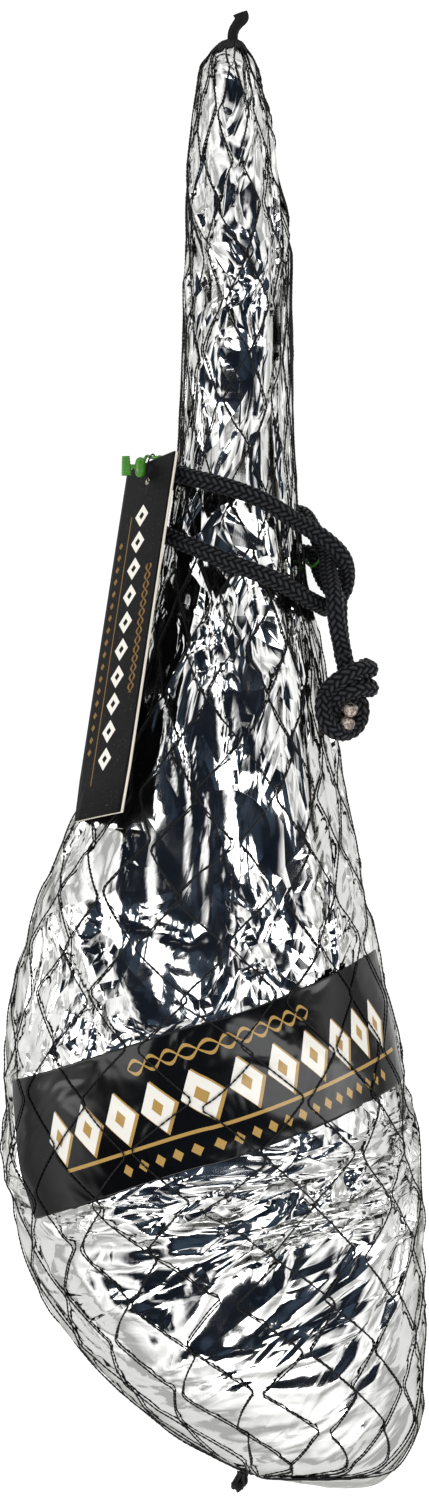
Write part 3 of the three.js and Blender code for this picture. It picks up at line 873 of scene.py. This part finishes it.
def crumple(skin, angle, settings):
    """Height of the crumpled film over its mean surface, in mm.

    Zigzag waves in random directions are added from long to short, on a place that is squeezed
    along the grain, so that folds run lengthwise, and aslant near the butt. Each also shifts the
    place at which the next ones are read, by a zigzag too, so that every facet stays flat and
    creases kink where they cross. A smooth patch pattern fades each wave in and out. The long
    folds are tents with unlike sides. The sum is held within the film's swing by a tanh.
    """
    random = np.random.default_rng(settings.seed)
    y = skin[..., 1]
    squeeze = 0.5 - 0.14 * smooth_step(-20, 120, y)
    lengthwise = np.stack([skin[..., 0], y * squeeze, skin[..., 2]], -1)
    slant = np.array([0.87, 0.5, 0])
    aslant = skin - 0.5 * (skin @ slant)[..., None] * slant
    low = smooth_step(-150, -250, y)[..., None]
    place = lengthwise * (1 - low) + aslant * low
    height = np.zeros(y.shape)
    # The film is drawn smooth over the butt's end and under the net's cap.
    tight = 0.22 + 0.78 * smooth_step(-350, -285, y)
    tight = tight * (1 - 0.8 * smooth_step(374, 388, y))
    for wavelength, slope in CREASES:
        direction = unit(random.normal(size=3))
        wave = triangle_wave(place @ direction / wavelength + random.random())
        spread = place @ (unit(random.normal(size=3)) / (2.2 * wavelength)) * TURN
        other = place @ (unit(random.normal(size=3)) / (3.1 * wavelength)) * TURN
        patch = smooth_step(-0.1, 1.0, np.sin(spread + random.random() * TURN) + np.sin(other))
        height += slope * wavelength / 4 * wave * patch * tight
        place = place + 0.3 * wavelength * wave[..., None] * unit(random.normal(size=3))
    height *= settings.crease
    for x0, y0, x1, y1, peak, near, far in FOLDS:
        run = np.array([x1 - x0, y1 - y0], float)
        length = np.hypot(*run)
        offset = skin[..., :2] - [x0, y0]
        share = offset @ run / length**2
        aside = (offset[..., 0] * run[1] - offset[..., 1] * run[0]) / length
        tent = 1 - np.where(aside > 0, aside / far, -aside / near)
        ends = smooth_step(-0.12, 0.06, share) * smooth_step(-0.12, 0.06, 1 - share)
        height += peak * np.maximum(tent, 0) * ends * smooth_step(-0.05, 0.15, np.sin(angle))
    return FILM_SWING * np.tanh(height / FILM_SWING)


def label_share(angle, y):
    """How far along and across the label a place on the leg is, from 0 to 1 on the label.

    The two shares come from three rounds of solving one with the other kept.
    """
    degree = np.degrees(np.where(angle > math.radians(270), angle - TURN, angle))
    across = np.full(np.shape(degree), 0.5)
    for _ in range(3):
        left, right = (low + across * (high - low) for low, high in LABEL_CORNERS[..., 0])
        along = (degree - left) / (right - left)
        (_, low), (_, high) = label_edge(along, 0), label_edge(along, 1)
        across = (y - low) / (high - low)
    return along, across


def label_edge(along, edge):
    """Angle in degrees and y on the label's low edge, 0, or high edge, 1, straight from above.

    The angle goes evenly from corner to corner, and y goes with its cosine.
    """
    (left_angle, left_y), (right_angle, right_y) = LABEL_CORNERS[:, edge]
    degree = left_angle + along * (right_angle - left_angle)
    first, here, last = (np.cos(np.radians(a)) for a in (left_angle, degree, right_angle))
    return degree, left_y + (here - first) / (last - first) * (right_y - left_y)


def label_ripple(angle, y):
    """Slack waves in the label, in mm: a long sine that fades out on top, and a lower one."""
    long_wave = 0.5 * np.sin(angle * 9 + y * 0.05) * np.abs(np.cos(angle))
    return long_wave + 0.25 * np.sin(y * 0.16 - angle * 5)


# The two height grids, worked out once for the film and the net.
RELIEF = {}


def relief(settings):
    """The film's height and the top of what the net lies on, as grids over the netted leg's face.

    The film lies flatter under the label. The top is eased upwards beside each ridge in three
    rounds, since a drawn yarn bridges hollows.
    """
    if not RELIEF:
        y, angle = np.meshgrid(FILM_PLACES, FILM_ANGLES, indexing="ij")
        height = crumple(leg_point(angle, y), angle, settings)
        along, across = label_share(angle, y)
        edge = np.minimum(np.minimum(along, 1 - along) * 3, np.minimum(across, 1 - across))
        under = smooth_step(-0.1, 0.05, edge)
        height = height * (1 - under) + under * (np.minimum(0.3 * height, 0.3) - 0.2)
        film = height - FILM_DEPTH
        top = np.where(edge > 0, label_ripple(angle, y) - LABEL_DEPTH, film)
        for _ in range(3):
            top = np.maximum(top, 0.9 * (np.roll(top, 1, 1) + np.roll(top, -1, 1)) / 2 + 0.1 * top)
            top[1:-1] = np.maximum(top[1:-1], 0.9 * (top[2:] + top[:-2]) / 2 + 0.1 * top[1:-1])
        RELIEF.update(film=film, top=top)
    return RELIEF["film"], RELIEF["top"]


def read_relief(grid, angle, y):
    """The grid's value at any angle and y, from its four neighbours."""
    row = np.interp(-y, -FILM_PLACES, np.arange(FILM_ROWS))
    column = np.mod(angle, TURN) / TURN * FILM_COLUMNS
    r, c = np.minimum(row.astype(int), FILM_ROWS - 2), column.astype(int)
    fr, fc = row - r, column - c
    near, far = c % FILM_COLUMNS, (c + 1) % FILM_COLUMNS
    return (
        grid[r, near] * (1 - fr) * (1 - fc) + grid[r, far] * (1 - fr) * fc
        + grid[r + 1, near] * fr * (1 - fc) + grid[r + 1, far] * fr * fc
    )


# ---- The braid and the net ----
ROPE_SIDES, ROPE_STEP = 64, 0.55
# In mm, how far a strand's edge lies under its crown and the crown over the mean radius.
BRAID_RELIEF, CROWN_OVER = 1.5, 0.4


def braid(route, reference, settings):
    """A braided rope along a route in mm, with each vertex's place across its strand and swell.

    Two families of strands lean opposite ways round the rope. On the rope's skin, family one
    counts up with turns plus length and family two with turns minus length. Their numbers added
    and divided by four say which lies on top: each strand goes over two and under two. A strand is
    half round across and rounds off at both ends of the stretch where it lies on top.
    """
    path = evenly(route, ROPE_STEP)
    along = ROPE_STEP * np.arange(len(path))[:, None] / (settings.pitch / MM)
    spin = np.arange(ROPE_SIDES)[None, :] / ROPE_SIDES * settings.strands
    one, two = spin + along, spin - along
    turn = np.mod(np.floor(one) + np.floor(two), 4)
    on_top = turn < 2
    across = np.where(on_top, one - np.floor(one), two - np.floor(two))
    run = np.where(on_top, turn + two - np.floor(two), turn - 2 + one - np.floor(one)) / 2
    swell = np.sqrt(np.maximum(1 - (2 * across - 1) ** 2, 0) * np.maximum(1 - (2 * run - 1) ** 4, 0))
    radius = settings.diameter / MM / 2 + CROWN_OVER - BRAID_RELIEF * (1 - swell)
    made = tubes(path[None], reference(path)[None], radius[None], ROPE_SIDES)
    rim = np.zeros(3 * ROPE_SIDES)
    return made, [np.concatenate([rim, values.ravel(), rim, [0, 0]]) for values in (across, swell)]


def braided_piece(name, routes, reference, settings):
    """One piece of one or more braided stretches."""
    parts, values = zip(*(braid(route, reference, settings) for route in routes))
    strand, crown = (np.concatenate(each) for each in zip(*values))
    return make_piece(name, *joined(parts), attributes={"strand": strand, "crown": crown})


def from_shank(path):
    """Directions away from the shank's middle line."""
    return (path - [12, 0, 37]) * [1, 0, 1]


def from_knot(path):
    """Directions away from the knot's middle."""
    return path - KNOT_MIDDLE + [0, 0, 0.01]


def metres_to_mm(points):
    """Points given in metres as an array in mm."""
    return np.array(points, float) / MM


def noose_route():
    """The whole noose: up the back, over the top, round its loop, over again and round the back."""
    return smooth_route(np.concatenate([
        metres_to_mm(NOOSE_START), on_shank(FIRST_TURN, ROPE_HEIGHT), metres_to_mm(NOOSE_LOOP),
        on_shank(SECOND_TURN, ROPE_HEIGHT), metres_to_mm(NOOSE_END),
    ]))


TUFT_PLACE = np.array([15, -396, 46])
# Step along a wale, sides of a yarn, and the length in which a wale's two yarns turn once.
NET_STEP, NET_SIDES, NET_TWIST = 1.25, 5, 4.6
# A wale's middle line, in mm: its lift over the film, its limit over the netted leg's face, half
# the gap between two wales at a knot, and the length that is drawn to the tuft.
WALE_LIFT, WALE_LIMIT, KNOT_HALF_GAP, DRAWN_LENGTH = 0.75, 0.6, 0.62, 75


def wale_paths(ham):
    """Middle lines of the net's wales, and the outward normals along them.

    A wale zigzags between its two neighbours and lies beside one of them for a short length at
    each knot. Wales crowd to the sides of the shank. Their last stretch is drawn along the
    surface to the tuft.
    """
    settings = ham.net
    wales = 2 * settings.diamonds
    profile = leg_point(np.full(800, math.pi / 2), np.linspace(HOOF_Y - 2, BUTT_Y + 1.5, 800))
    length = np.concatenate([[0], np.cumsum(np.linalg.norm(np.diff(profile, axis=0), axis=1))])
    places = np.linspace(0, length[-1], int(length[-1] / NET_STEP))
    y = np.interp(places, length, profile[:, 1])[None, :]
    left, right, under, top = section(y)
    spacing = math.pi * (right - left + top - under) / 2 / wales
    number = np.arange(wales)[:, None]
    sway = 0.12 * np.sin(places / 61 + number * 1.9) + 0.1 * np.sin(places / 23 + number * 0.7)
    rows = places[None, :] / (settings.opening / MM) + 0.05 * np.sin(number * 2.4 + places / 90)
    zigzag = np.clip(1.12 * triangle_wave(rows + 0.1), -1, 1) * np.where(number % 2 == 0, 1, -1)
    reach = 0.5 - np.minimum(KNOT_HALF_GAP / spacing, 0.3)
    angle = TURN * (number + reach * zigzag + sway * smooth_step(2, 9, spacing)) / wales
    crowd = 0.12 + 0.62 * smooth_step(40, 170, y)
    angle = angle - crowd * np.sin(2 * angle) / 2 + 0.14 * y / 400
    point = leg_point(angle, y + 0 * angle)
    pull = smooth_step(length[-1] - DRAWN_LENGTH, length[-1], places)[None, :, None] ** 1.5
    point = point + pull * (TUFT_PLACE + [5, 0, 0] - point)
    y = np.maximum(point[..., 1], BUTT_Y + 0.6)
    left, right, under, top = section(y)
    x = (2 * point[..., 0] - left - right) / np.maximum(right - left, 0.1)
    z = (2 * point[..., 2] - under - top) / np.maximum(top - under, 0.1)
    power = SECTION_POWER / 2
    drawn = np.arctan2(np.sign(z) * np.abs(z) ** power, np.sign(x) * np.abs(x) ** power)
    angle = np.where(pull[..., 0] > 0, drawn, angle)
    height = np.minimum(read_relief(relief(ham.film)[1], angle, y) + WALE_LIFT, WALE_LIMIT)
    return over(angle, y, height), leg_normal(angle, y), places


# ---- Operators ----
class HAM_OT_stage(Operator):
    """Camera over the middle, light table, soft lamps and the room that the film mirrors"""

    bl_idname = "ham.stage"
    bl_label = "Stage"

    def execute(self, context):
        settings = context.scene.cured_ham.stage
        camera = bpy.data.cameras.new("camera")
        camera.sensor_width = 36
        camera.lens = camera.sensor_width * settings.camera_height / settings.view_length
        eye = bpy.data.objects.new("camera", camera)
        eye.location = (*settings.camera_place, settings.camera_height + settings.middle_height)
        context.scene.collection.objects.link(eye)
        context.scene.camera = eye
        self.floor(context)
        self.lamps(context, settings)
        self.room(context)
        context.scene.view_settings.view_transform = "Standard"
        return {"FINISHED"}

    def floor(self, context):
        """A square of 8 by 8 m, 1 mm under the object."""
        half, level = 4.0, -0.001
        mesh = bpy.data.meshes.new("floor")
        corners = [(half * x, half * y, level) for x, y in ((-1, -1), (1, -1), (1, 1), (-1, 1))]
        mesh.from_pydata(corners, [], [(0, 1, 2, 3)])
        mesh.materials.append(light_table())
        floor = bpy.data.objects.new("floor", mesh)
        context.scene.collection.objects.link(floor)

    def lamps(self, context, settings):
        """Two long soft boxes along the sides, and a small one past the butt, aimed at the ham."""
        for name, place, size, power in (
            ("left box", (-1.0, 0.1, 0.95), (0.45, 1.7), 1.0),
            ("right box", (0.85, -0.1, 1.15), (0.35, 1.6), 0.9),
            ("end box", (0.1, -1.3, 1.0), (0.9, 0.35), 0.5),
        ):
            light = bpy.data.lights.new(name, "AREA")
            light.shape = "RECTANGLE"
            light.size, light.size_y = size
            light.energy = settings.lamp_power * power
            lamp = bpy.data.objects.new(name, light)
            lamp.location = place
            lamp.rotation_mode = "QUATERNION"
            lamp.rotation_quaternion = (-lamp.location).to_track_quat("-Z", "Y")
            lamp.visible_camera = False
            context.scene.collection.objects.link(lamp)

    def room(self, context):
        """A grey room with bright upper walls and a dark ceiling.

        Film that faces up mirrors the ceiling, ridges catch the upper walls and flanks go grey.
        height is the upward part of the mirrored direction: 0 level with the eye, 1 overhead.
        Only glossy rays see the walls, and everything else is lit by a pale even room.
        """
        world = bpy.data.worlds.new("room")
        world.use_nodes = True
        tree = world.node_tree
        tree.nodes.clear()
        height = node(tree, "SeparateXYZ", [node(tree, "TexCoord", output=0)], output=2)
        upper = node(tree, "MapRange", [height, 0.16, 0.5, 0.0, 1.0])
        ceiling = node(tree, "MapRange", [height, 0.6, 0.78, 0.0, 1.0])
        overhead = node(tree, "MapRange", [height, 0.9, 0.985, 0.0, 1.0])
        grey, white, dark, blue = (
            linear(code) for code in ("#A8A8A7", "#FFFFFF", "#10151E", "#2F3B49")
        )
        mirrored = layered(tree, grey, (upper, white), (ceiling, dark), (overhead, blue))
        walls = node(tree, "Background", [mirrored, 1.7])
        pale = node(tree, "Background", [linear("#D4D5D6"), 1.0])
        path = node(tree, "LightPath")
        glossy = path.node.outputs["Is Glossy Ray"]
        node(tree, "OutputWorld", [node(tree, "MixShader", [glossy, pale, walls])])
        context.scene.world = world


class HAM_OT_rope(Operator):
    """Braided rope: the noose, its two free tails, the knot and the melted ends"""

    bl_idname = "ham.rope"
    bl_label = "Rope"

    def execute(self, context):
        settings = context.scene.cured_ham.rope
        finish = braided_polypropylene(settings)
        noose = braided_piece("rope_noose_braid", [noose_route()], from_shank, settings)
        ready(noose, "braided_rope", "rope_noose", finishes=[finish])
        knot_routes = [
            smooth_route(metres_to_mm(route))
            for route in (KNOT_OUTER_WRAP, KNOT_INNER_WRAP, KNOT_CORE_UPPER, KNOT_CORE_LOWER)
        ]
        knot = braided_piece("rope_knot_braid", knot_routes, from_knot, settings)
        ready(knot, "braided_rope", "rope_knot", finishes=[finish])
        ends = self.melted_ends()
        for name, route, length in (
            ("rope_tail_upper", TAIL_UPPER, TAIL_UPPER_LENGTH),
            ("rope_tail_lower", TAIL_LOWER, TAIL_LOWER_LENGTH),
        ):
            line = smooth_route(metres_to_mm(route))
            tail = braided_piece(name + "_braid", [line], from_shank, settings)
            ready(tail, "braided_rope", name, finishes=[finish])
        return {"FINISHED"}

    def melted_ends(self):
        """The rope's ends: capsules along Z whose radius swells and dips with three sines."""
        finish = melted_polypropylene()
        rows, sides, radius = 12, 32, 4.1
        spin, level = spins(sides), np.arange(rows)[:, None]
        made = []
        for number, place in enumerate(ROPE_ENDS, 1):
            path = np.array(place) + np.linspace(-2.5, 4.2, rows)[:, None] * UP
            lumps = 0.25 * np.sin(3 * spin + number) + 0.18 * np.sin(5 * spin + 0.6 * level)
            size = radius + (lumps + 0.12 * np.sin(level))
            end = make_piece(f"rope_end_{number}_melted", *tubes(path[None], RIGHT, size[None], sides))
            made.append(ready(end, "melted_rope", f"rope_end_{number}", finishes=[finish]))
        return made


class HAM_OT_wrap(Operator):
    """The ham itself and the crumpled film round it"""

    bl_idname = "ham.wrap"
    bl_label = "Ham and film"

    def execute(self, context):
        settings = context.scene.cured_ham.film
        film, _ = relief(settings)
        y, angle = np.meshgrid(FILM_PLACES, FILM_ANGLES, indexing="ij")
        wrap = self.closed_leg("film_crumpled", over(angle, y, film))
        ready(wrap, "metallised_film", "film_wrap", finishes=[metallised_film(settings)])
        rows = eased_places(150, HOOF_Y - HAM_DEPTH - 1, BUTT_Y + HAM_DEPTH + 1)
        y, angle = np.meshgrid(rows, spins(96), indexing="ij")
        # The rind lies a little deeper still, in slow waves.
        sunk = 0.5 * np.sin(angle * 3 + y / 37) - 1.8
        ham = self.closed_leg("ham_rind", over(angle, y, sunk - HAM_DEPTH))
        ready(ham, "cured_skin", "ham", finishes=[cured_rind()])
        return {"FINISHED"}

    def closed_leg(self, name, rings):
        """Rings from the hoof to the butt, with a pole 0.5 mm past the middle of each end ring."""
        poles = [rings[0].mean(0) + 0.5 * ALONG, rings[-1].mean(0) - 0.5 * ALONG]
        return closed_rings(name, rings, poles)


class HAM_OT_label(Operator):
    """Printed label film across the belly, under the net"""

    bl_idname = "ham.label"
    bl_label = "Label"
    columns, rows = 260, 72
    thickness = 0.3
    # The label's length in heights of the label, which its printing pattern counts in.
    pattern_length = 3.3

    def execute(self, context):
        settings = context.scene.cured_ham.label
        along, across = np.meshgrid(
            np.linspace(0, 1, self.columns), np.linspace(0, 1, self.rows), indexing="ij"
        )
        (low_degree, low_y), (high_degree, high_y) = label_edge(along, 0), label_edge(along, 1)
        angle = np.radians(low_degree + (high_degree - low_degree) * across)
        y = low_y + (high_y - low_y) * across
        height = label_ripple(angle, y) - LABEL_DEPTH
        outer, inner = over(angle, y, height), over(angle, y, height - self.thickness)
        # A closed sheet: the outer rows, then the inner ones backwards, joined all round.
        points = np.concatenate([outer, inner[:, ::-1]], 1).reshape(-1, 3)
        quads, corners = grid_quads(self.columns, 2 * self.rows)
        k = np.arange(self.rows - 1)
        far = (self.columns - 1) * 2 * self.rows
        mirror = 2 * self.rows - 1
        first_end = np.stack([k, k + 1, mirror - k - 1, mirror - k], -1)
        last_end = np.stack([k + 1, k, mirror - k, mirror - k - 1], -1) + far
        row = corners[..., 1] % (2 * self.rows)
        share = np.where(row < self.rows, row, mirror - row) / (self.rows - 1)
        uv = np.stack([corners[..., 0] / (self.columns - 1) * self.pattern_length, share], -1)
        ends_uv = np.full((2 * len(k), 4, 2), -1.0)
        label = make_piece(
            "label_printed", points, np.concatenate([quads, first_end, last_end]),
            uv=np.concatenate([uv, ends_uv]),
        )
        ready(label, "printed_film", "label_band", finishes=[printed_film(settings)])
        return {"FINISHED"}


class HAM_OT_net(Operator):
    """Knitted net of doubled yarns, its dense cap and gathered tail, and the tuft at the butt"""

    bl_idname = "ham.net"
    bl_label = "Net"

    def execute(self, context):
        ham = context.scene.cured_ham
        finish = knitted_yarn(ham.net)
        self.wales(ham, finish)
        self.cap(finish)
        self.tail(finish)
        self.tuft(finish)
        return {"FINISHED"}

    def wales(self, ham, finish):
        """Each wale is two yarns that turn round its middle line, like a chain stitch."""
        middle, normal, places = wale_paths(ham)
        tangent = unit(np.gradient(middle, axis=1))
        side = np.cross(tangent, normal)
        turn = TURN * places[None, :] / NET_TWIST + np.arange(len(middle))[:, None]
        radius = ham.net.strand / MM / 2
        # The two yarns just clear each other side by side, and press together one over the other.
        swing = np.cos(turn)[..., None] * side + 0.7 * np.sin(turn)[..., None] * normal
        groups = np.array_split(np.arange(len(middle)), 4)
        for number, group in enumerate(groups, 1):
            aside = 1.05 * radius * swing[group]
            paths = np.concatenate([middle[group] + aside, middle[group] - aside])
            up = np.tile(normal[group], (2, 1, 1))
            made = tubes(paths, up, radius, NET_SIDES, round_ends=False)
            piece = make_piece(f"net_wales_{number}", *made)
            ready(piece, "knitted_net", *(["net"] if number == 1 else []), finishes=[finish])

    def cap(self, finish):
        """The dense end of the net over the hoof: a pleated shell 0.8 mm thick, ragged at its rim."""
        places = np.linspace(HOOF_Y - 0.6, 387, 26)
        y, angle = np.meshgrid(places, spins(168), indexing="ij")
        ragged = 2.8 * np.abs(np.sin(7 * angle)) + 1.3 * np.sin(angle * 3 + 1)
        ragged = ragged + 0.7 * np.sin(angle * 11)
        y = y - ragged * smooth_step(0, 1, (HOOF_Y - y) / 7)
        pleats = 0.5 * np.abs(np.sin(14 * angle)) + 0.12 * np.sin(y * 4 + angle * 7)
        shell = np.concatenate([over(angle, y, pleats - 1.6), over(angle, y, pleats - 2.4)[::-1]])
        cap = closed_rings("net_cap", shell, [shell[0].mean(0), shell[-1].mean(0)])
        ready(cap, "knitted_net", finishes=[finish])

    def tail(self, finish):
        """The gathered tail: a flat pleated ribbon on a lazy S, which widens to its square end."""
        route = evenly(smooth_route([
            (9, 391.5, 28), (9, 394.4, 28), (10, 397, 28), (12, 400, 27.5),
            (14, 403.5, 27), (13, 406.4, 26.5),
        ]), 0.35)
        sides, power = 72, 2.6
        spin, level = spins(sides), np.linspace(0, 1, len(route))[:, None]
        wide = 2.6 + 1.1 * smooth_step(0.35, 1, level)
        thin = 1.35 - 0.35 * level
        ribbon = (np.abs(np.cos(spin)) / wide) ** power + (np.abs(np.sin(spin)) / thin) ** power
        ribbon = ribbon ** (-1 / power)
        pleats = 1 + 0.14 * np.cos(13 * spin + 1.5 * level) + 0.05 * np.sin(5 * spin + 9 * level)
        made = tubes(route[None], RIGHT, (ribbon * pleats)[None], sides, round_ends=False)
        ready(make_piece("net_tail", *made), "knitted_net", "net_hoof_tail", finishes=[finish])

    def tuft(self, finish):
        """The tuft: yarn loops that leave the gathering, swing out and come back."""
        random = np.random.default_rng(5)
        loops, count = 26, 40
        t = np.linspace(0, 1, count)[None, :, None]
        root = TUFT_PLACE + random.normal(0, 1, (loops, 1, 3)) * [1.6, 0.6, 1.2]
        out = np.array([-2.0, -8.6, -4.0]) + random.normal(0, 1, (loops, 1, 3)) * [1.6, 1.0, 1.4]
        sway = random.normal(0, 1, (loops, 1, 3)) * [2.0, 0.6, 1.4]
        paths = root + out * np.sin(math.pi * 0.72 * t) + sway * np.sin(TURN * t) * t
        made = tubes(paths, np.array([0.3, 0.1, 1.0]), 0.55, 7)
        ready(make_piece("net_tuft", *made), "knitted_net", "net_butt_tuft", finishes=[finish])


class HAM_OT_tag(Operator):
    """Card tag with its string loop and the green seal with its strap"""

    bl_idname = "ham.tag"
    bl_label = "Tag and seal"

    def execute(self, context):
        settings = context.scene.cured_ham.tag
        self.card(settings)
        self.string(context)
        self.seal(settings)
        return {"FINISHED"}

    def card(self, settings):
        """The card as one closed ring: out over the front, round the edge, back, through the hole.

        Each ring point runs straight from the hole's rim to the outline, a rectangle with small
        round corners. The card bows a little across its width.
        """
        around, steps, corner = 240, 14, 1.2
        half = np.array([TAG_WIDTH, TAG_LENGTH]) / 2
        hole_y = half[1] - TAG_HOLE_DOWN
        bend = np.linspace(0, math.pi / 2, 12)
        rounds = [
            np.stack([sx * (half[0] - corner) + corner * np.cos(bend + start),
                      sy * (half[1] - corner) + corner * np.sin(bend + start)], -1)
            for sx, sy, start in zip((1, -1, -1, 1), (1, 1, -1, -1), spins(4))
        ]
        loop = np.concatenate(rounds + [rounds[0][:1]])
        dense = evenly(np.pad(loop, ((0, 0), (0, 1))), 0.5)[:, :2]
        bearing = np.unwrap(np.arctan2(dense[:, 1] - hole_y, dense[:, 0]))
        spin = bearing[0] + spins(around)
        outline = np.stack([np.interp(spin, bearing, dense[:, k]) for k in (0, 1)], -1)
        hole = np.stack([TAG_HOLE * np.cos(spin), hole_y + TAG_HOLE * np.sin(spin)], -1)
        share = np.linspace(0, 1, steps)[:, None, None] ** 1.3
        face = hole + (outline - hole) * share
        bow = 0.5 * (1 - (face[..., :1] / half[0]) ** 2) - 0.25
        front = np.concatenate([face, bow + TAG_THICK / 2], -1)
        back = np.concatenate([face, bow - TAG_THICK / 2], -1)[::-1]
        ring = np.concatenate([front, back])
        rows = len(ring)
        quads, corners = grid_quads(rows, around, closed_rows=True)
        flat = ring.reshape(-1, 3)[quads]
        uv = flat[..., :2] / (2 * half) + 0.5
        row = corners[:, 0, 0]
        on_front = row < steps - 1
        cut = (row == steps - 1) | (row == rows - 1)
        uv = np.where(on_front[:, None, None], uv, -1.0)
        card = make_piece("tag_card", on_tag(ring), quads, uv=uv, face_finish=cut.astype(int))
        ready(card, "black_card", "tag", finishes=[black_board(settings), cut_board_edge(settings)])

    def string(self, context):
        """A closed loop of thin cord through the hole and over the tag's top edge."""
        finish = knitted_yarn(context.scene.cured_ham.net)
        sides, rounds, radius = 8, 64, 0.5
        spin, ring = spins(rounds), spins(sides)[None, :, None]
        up_tag = TAG_LENGTH / 2 - TAG_HOLE_DOWN + 8 + 8 * np.cos(spin)
        local = np.stack([0 * spin, up_tag, 2.4 * np.sin(spin)], -1)
        out = unit((local - local.mean(0)) * [1, 1, 3])
        tube = local[:, None] + radius * (np.cos(ring) * out[:, None] + np.sin(ring) * RIGHT)
        quads, _ = grid_quads(rounds, sides, closed_rows=True)
        loop = make_piece("tag_string_loop", on_tag(tube), quads)
        ready(loop, "tag_cord", "tag_string", finishes=[finish])

    def seal(self, settings):
        """Ribbed grip, rounded lock, the bridge between them, and the strap round the shank.

        Each shape runs from its start to its end with its radius along it, and its section is a
        superellipse with a flatness and a power.
        """
        rows, sides = 72, 40
        level = np.linspace(0, 1, rows)
        grip = 2.75 - 0.6 * level + 0.16 * np.cos(TURN * 7 * level)
        lock = 2.95 * np.sqrt(np.maximum(1 - np.abs(2 * level - 1) ** 3.2, 0.02))
        shapes = [
            ((-48.8, 147.7, 53), (-49.2, 158.1, 53), grip, 0.8, 3.2),
            ((-41.3, 146.5, 53), (-41.3, 157.7, 53), lock, 0.85, 2.3),
            ((-47.6, 152.5, 53), (-42.2, 152.5, 53), 1.25 + 0 * level, 0.8, 2.6),
        ]
        parts = []
        spin = spins(sides)
        for start, end, size, flat, power in shapes:
            path = np.array(start) + level[:, None] * (np.array(end) - start)
            squared = np.abs(np.cos(spin)) ** power + np.abs(np.sin(spin) / flat) ** power
            radius = size[:, None] * squared ** (-1 / power)
            parts.append(tubes(path[None], self.across(path), radius[None], sides, round_ends=False))
        parts.append(self.strap())
        piece = make_piece("seal_and_strap", *joined(parts))
        ready(piece, "green_plastic", "green_seal", finishes=[moulded_polyamide(settings)])

    def across(self, path):
        """A direction square to a straight path: X, or Y where the path runs along X."""
        run = np.abs(path[-1] - path[0])
        return ALONG if run[0] > run[1] else RIGHT

    def strap(self):
        """A round strap from the lock over the tag's edge, round the back and up to its cut tip."""
        past_edge = on_tag([(-4, 103.5, 1.5), (0, 102, 0), (3, 102.5, -2)])
        route = np.concatenate([
            [(-40, 152.5, 53)], past_edge, [(-29, 158.5, 45)],
            on_shank(STRAP_ON_SHANK, STRAP_HEIGHT), STRAP_TIP,
        ])
        path = evenly(smooth_route(route), 0.8)
        return tubes(path[None], from_shank(path)[None], 0.85, 12)


class HAM_PT_panel(Panel):
    """Sizes, colours and buttons for the ham's dress"""

    bl_idname = "HAM_PT_panel"
    bl_label = "Cured ham"
    bl_space_type = "VIEW_3D"
    bl_region_type = "UI"
    bl_category = "Cured Ham"

    def draw(self, context):
        ham = context.scene.cured_ham
        for group, kind in SETTINGS.items():
            box = self.layout.box()
            box.label(text=group.capitalize())
            for name in kind.__annotations__:
                box.prop(getattr(ham, group), name)
        for operator in OPERATORS:
            self.layout.operator(operator.bl_idname)


OPERATORS = (HAM_OT_stage, HAM_OT_rope, HAM_OT_wrap, HAM_OT_label, HAM_OT_net, HAM_OT_tag)
CLASSES = (*SETTINGS.values(), CuredHamSettings, *OPERATORS, HAM_PT_panel)


def register():
    """Makes the classes and the scene's settings known to Blender."""
    for kind in CLASSES:
        bpy.utils.register_class(kind)
    bpy.types.Scene.cured_ham = PointerProperty(type=CuredHamSettings)


def unregister():
    """Takes away what register made known."""
    del bpy.types.Scene.cured_ham
    for kind in reversed(CLASSES):
        bpy.utils.unregister_class(kind)


def main():
    """Runs every operator in order."""
    register()
    for operator in OPERATORS:
        family, name = operator.bl_idname.split(".")
        getattr(getattr(bpy.ops, family), name)()


if __name__ == "__main__":
    main()
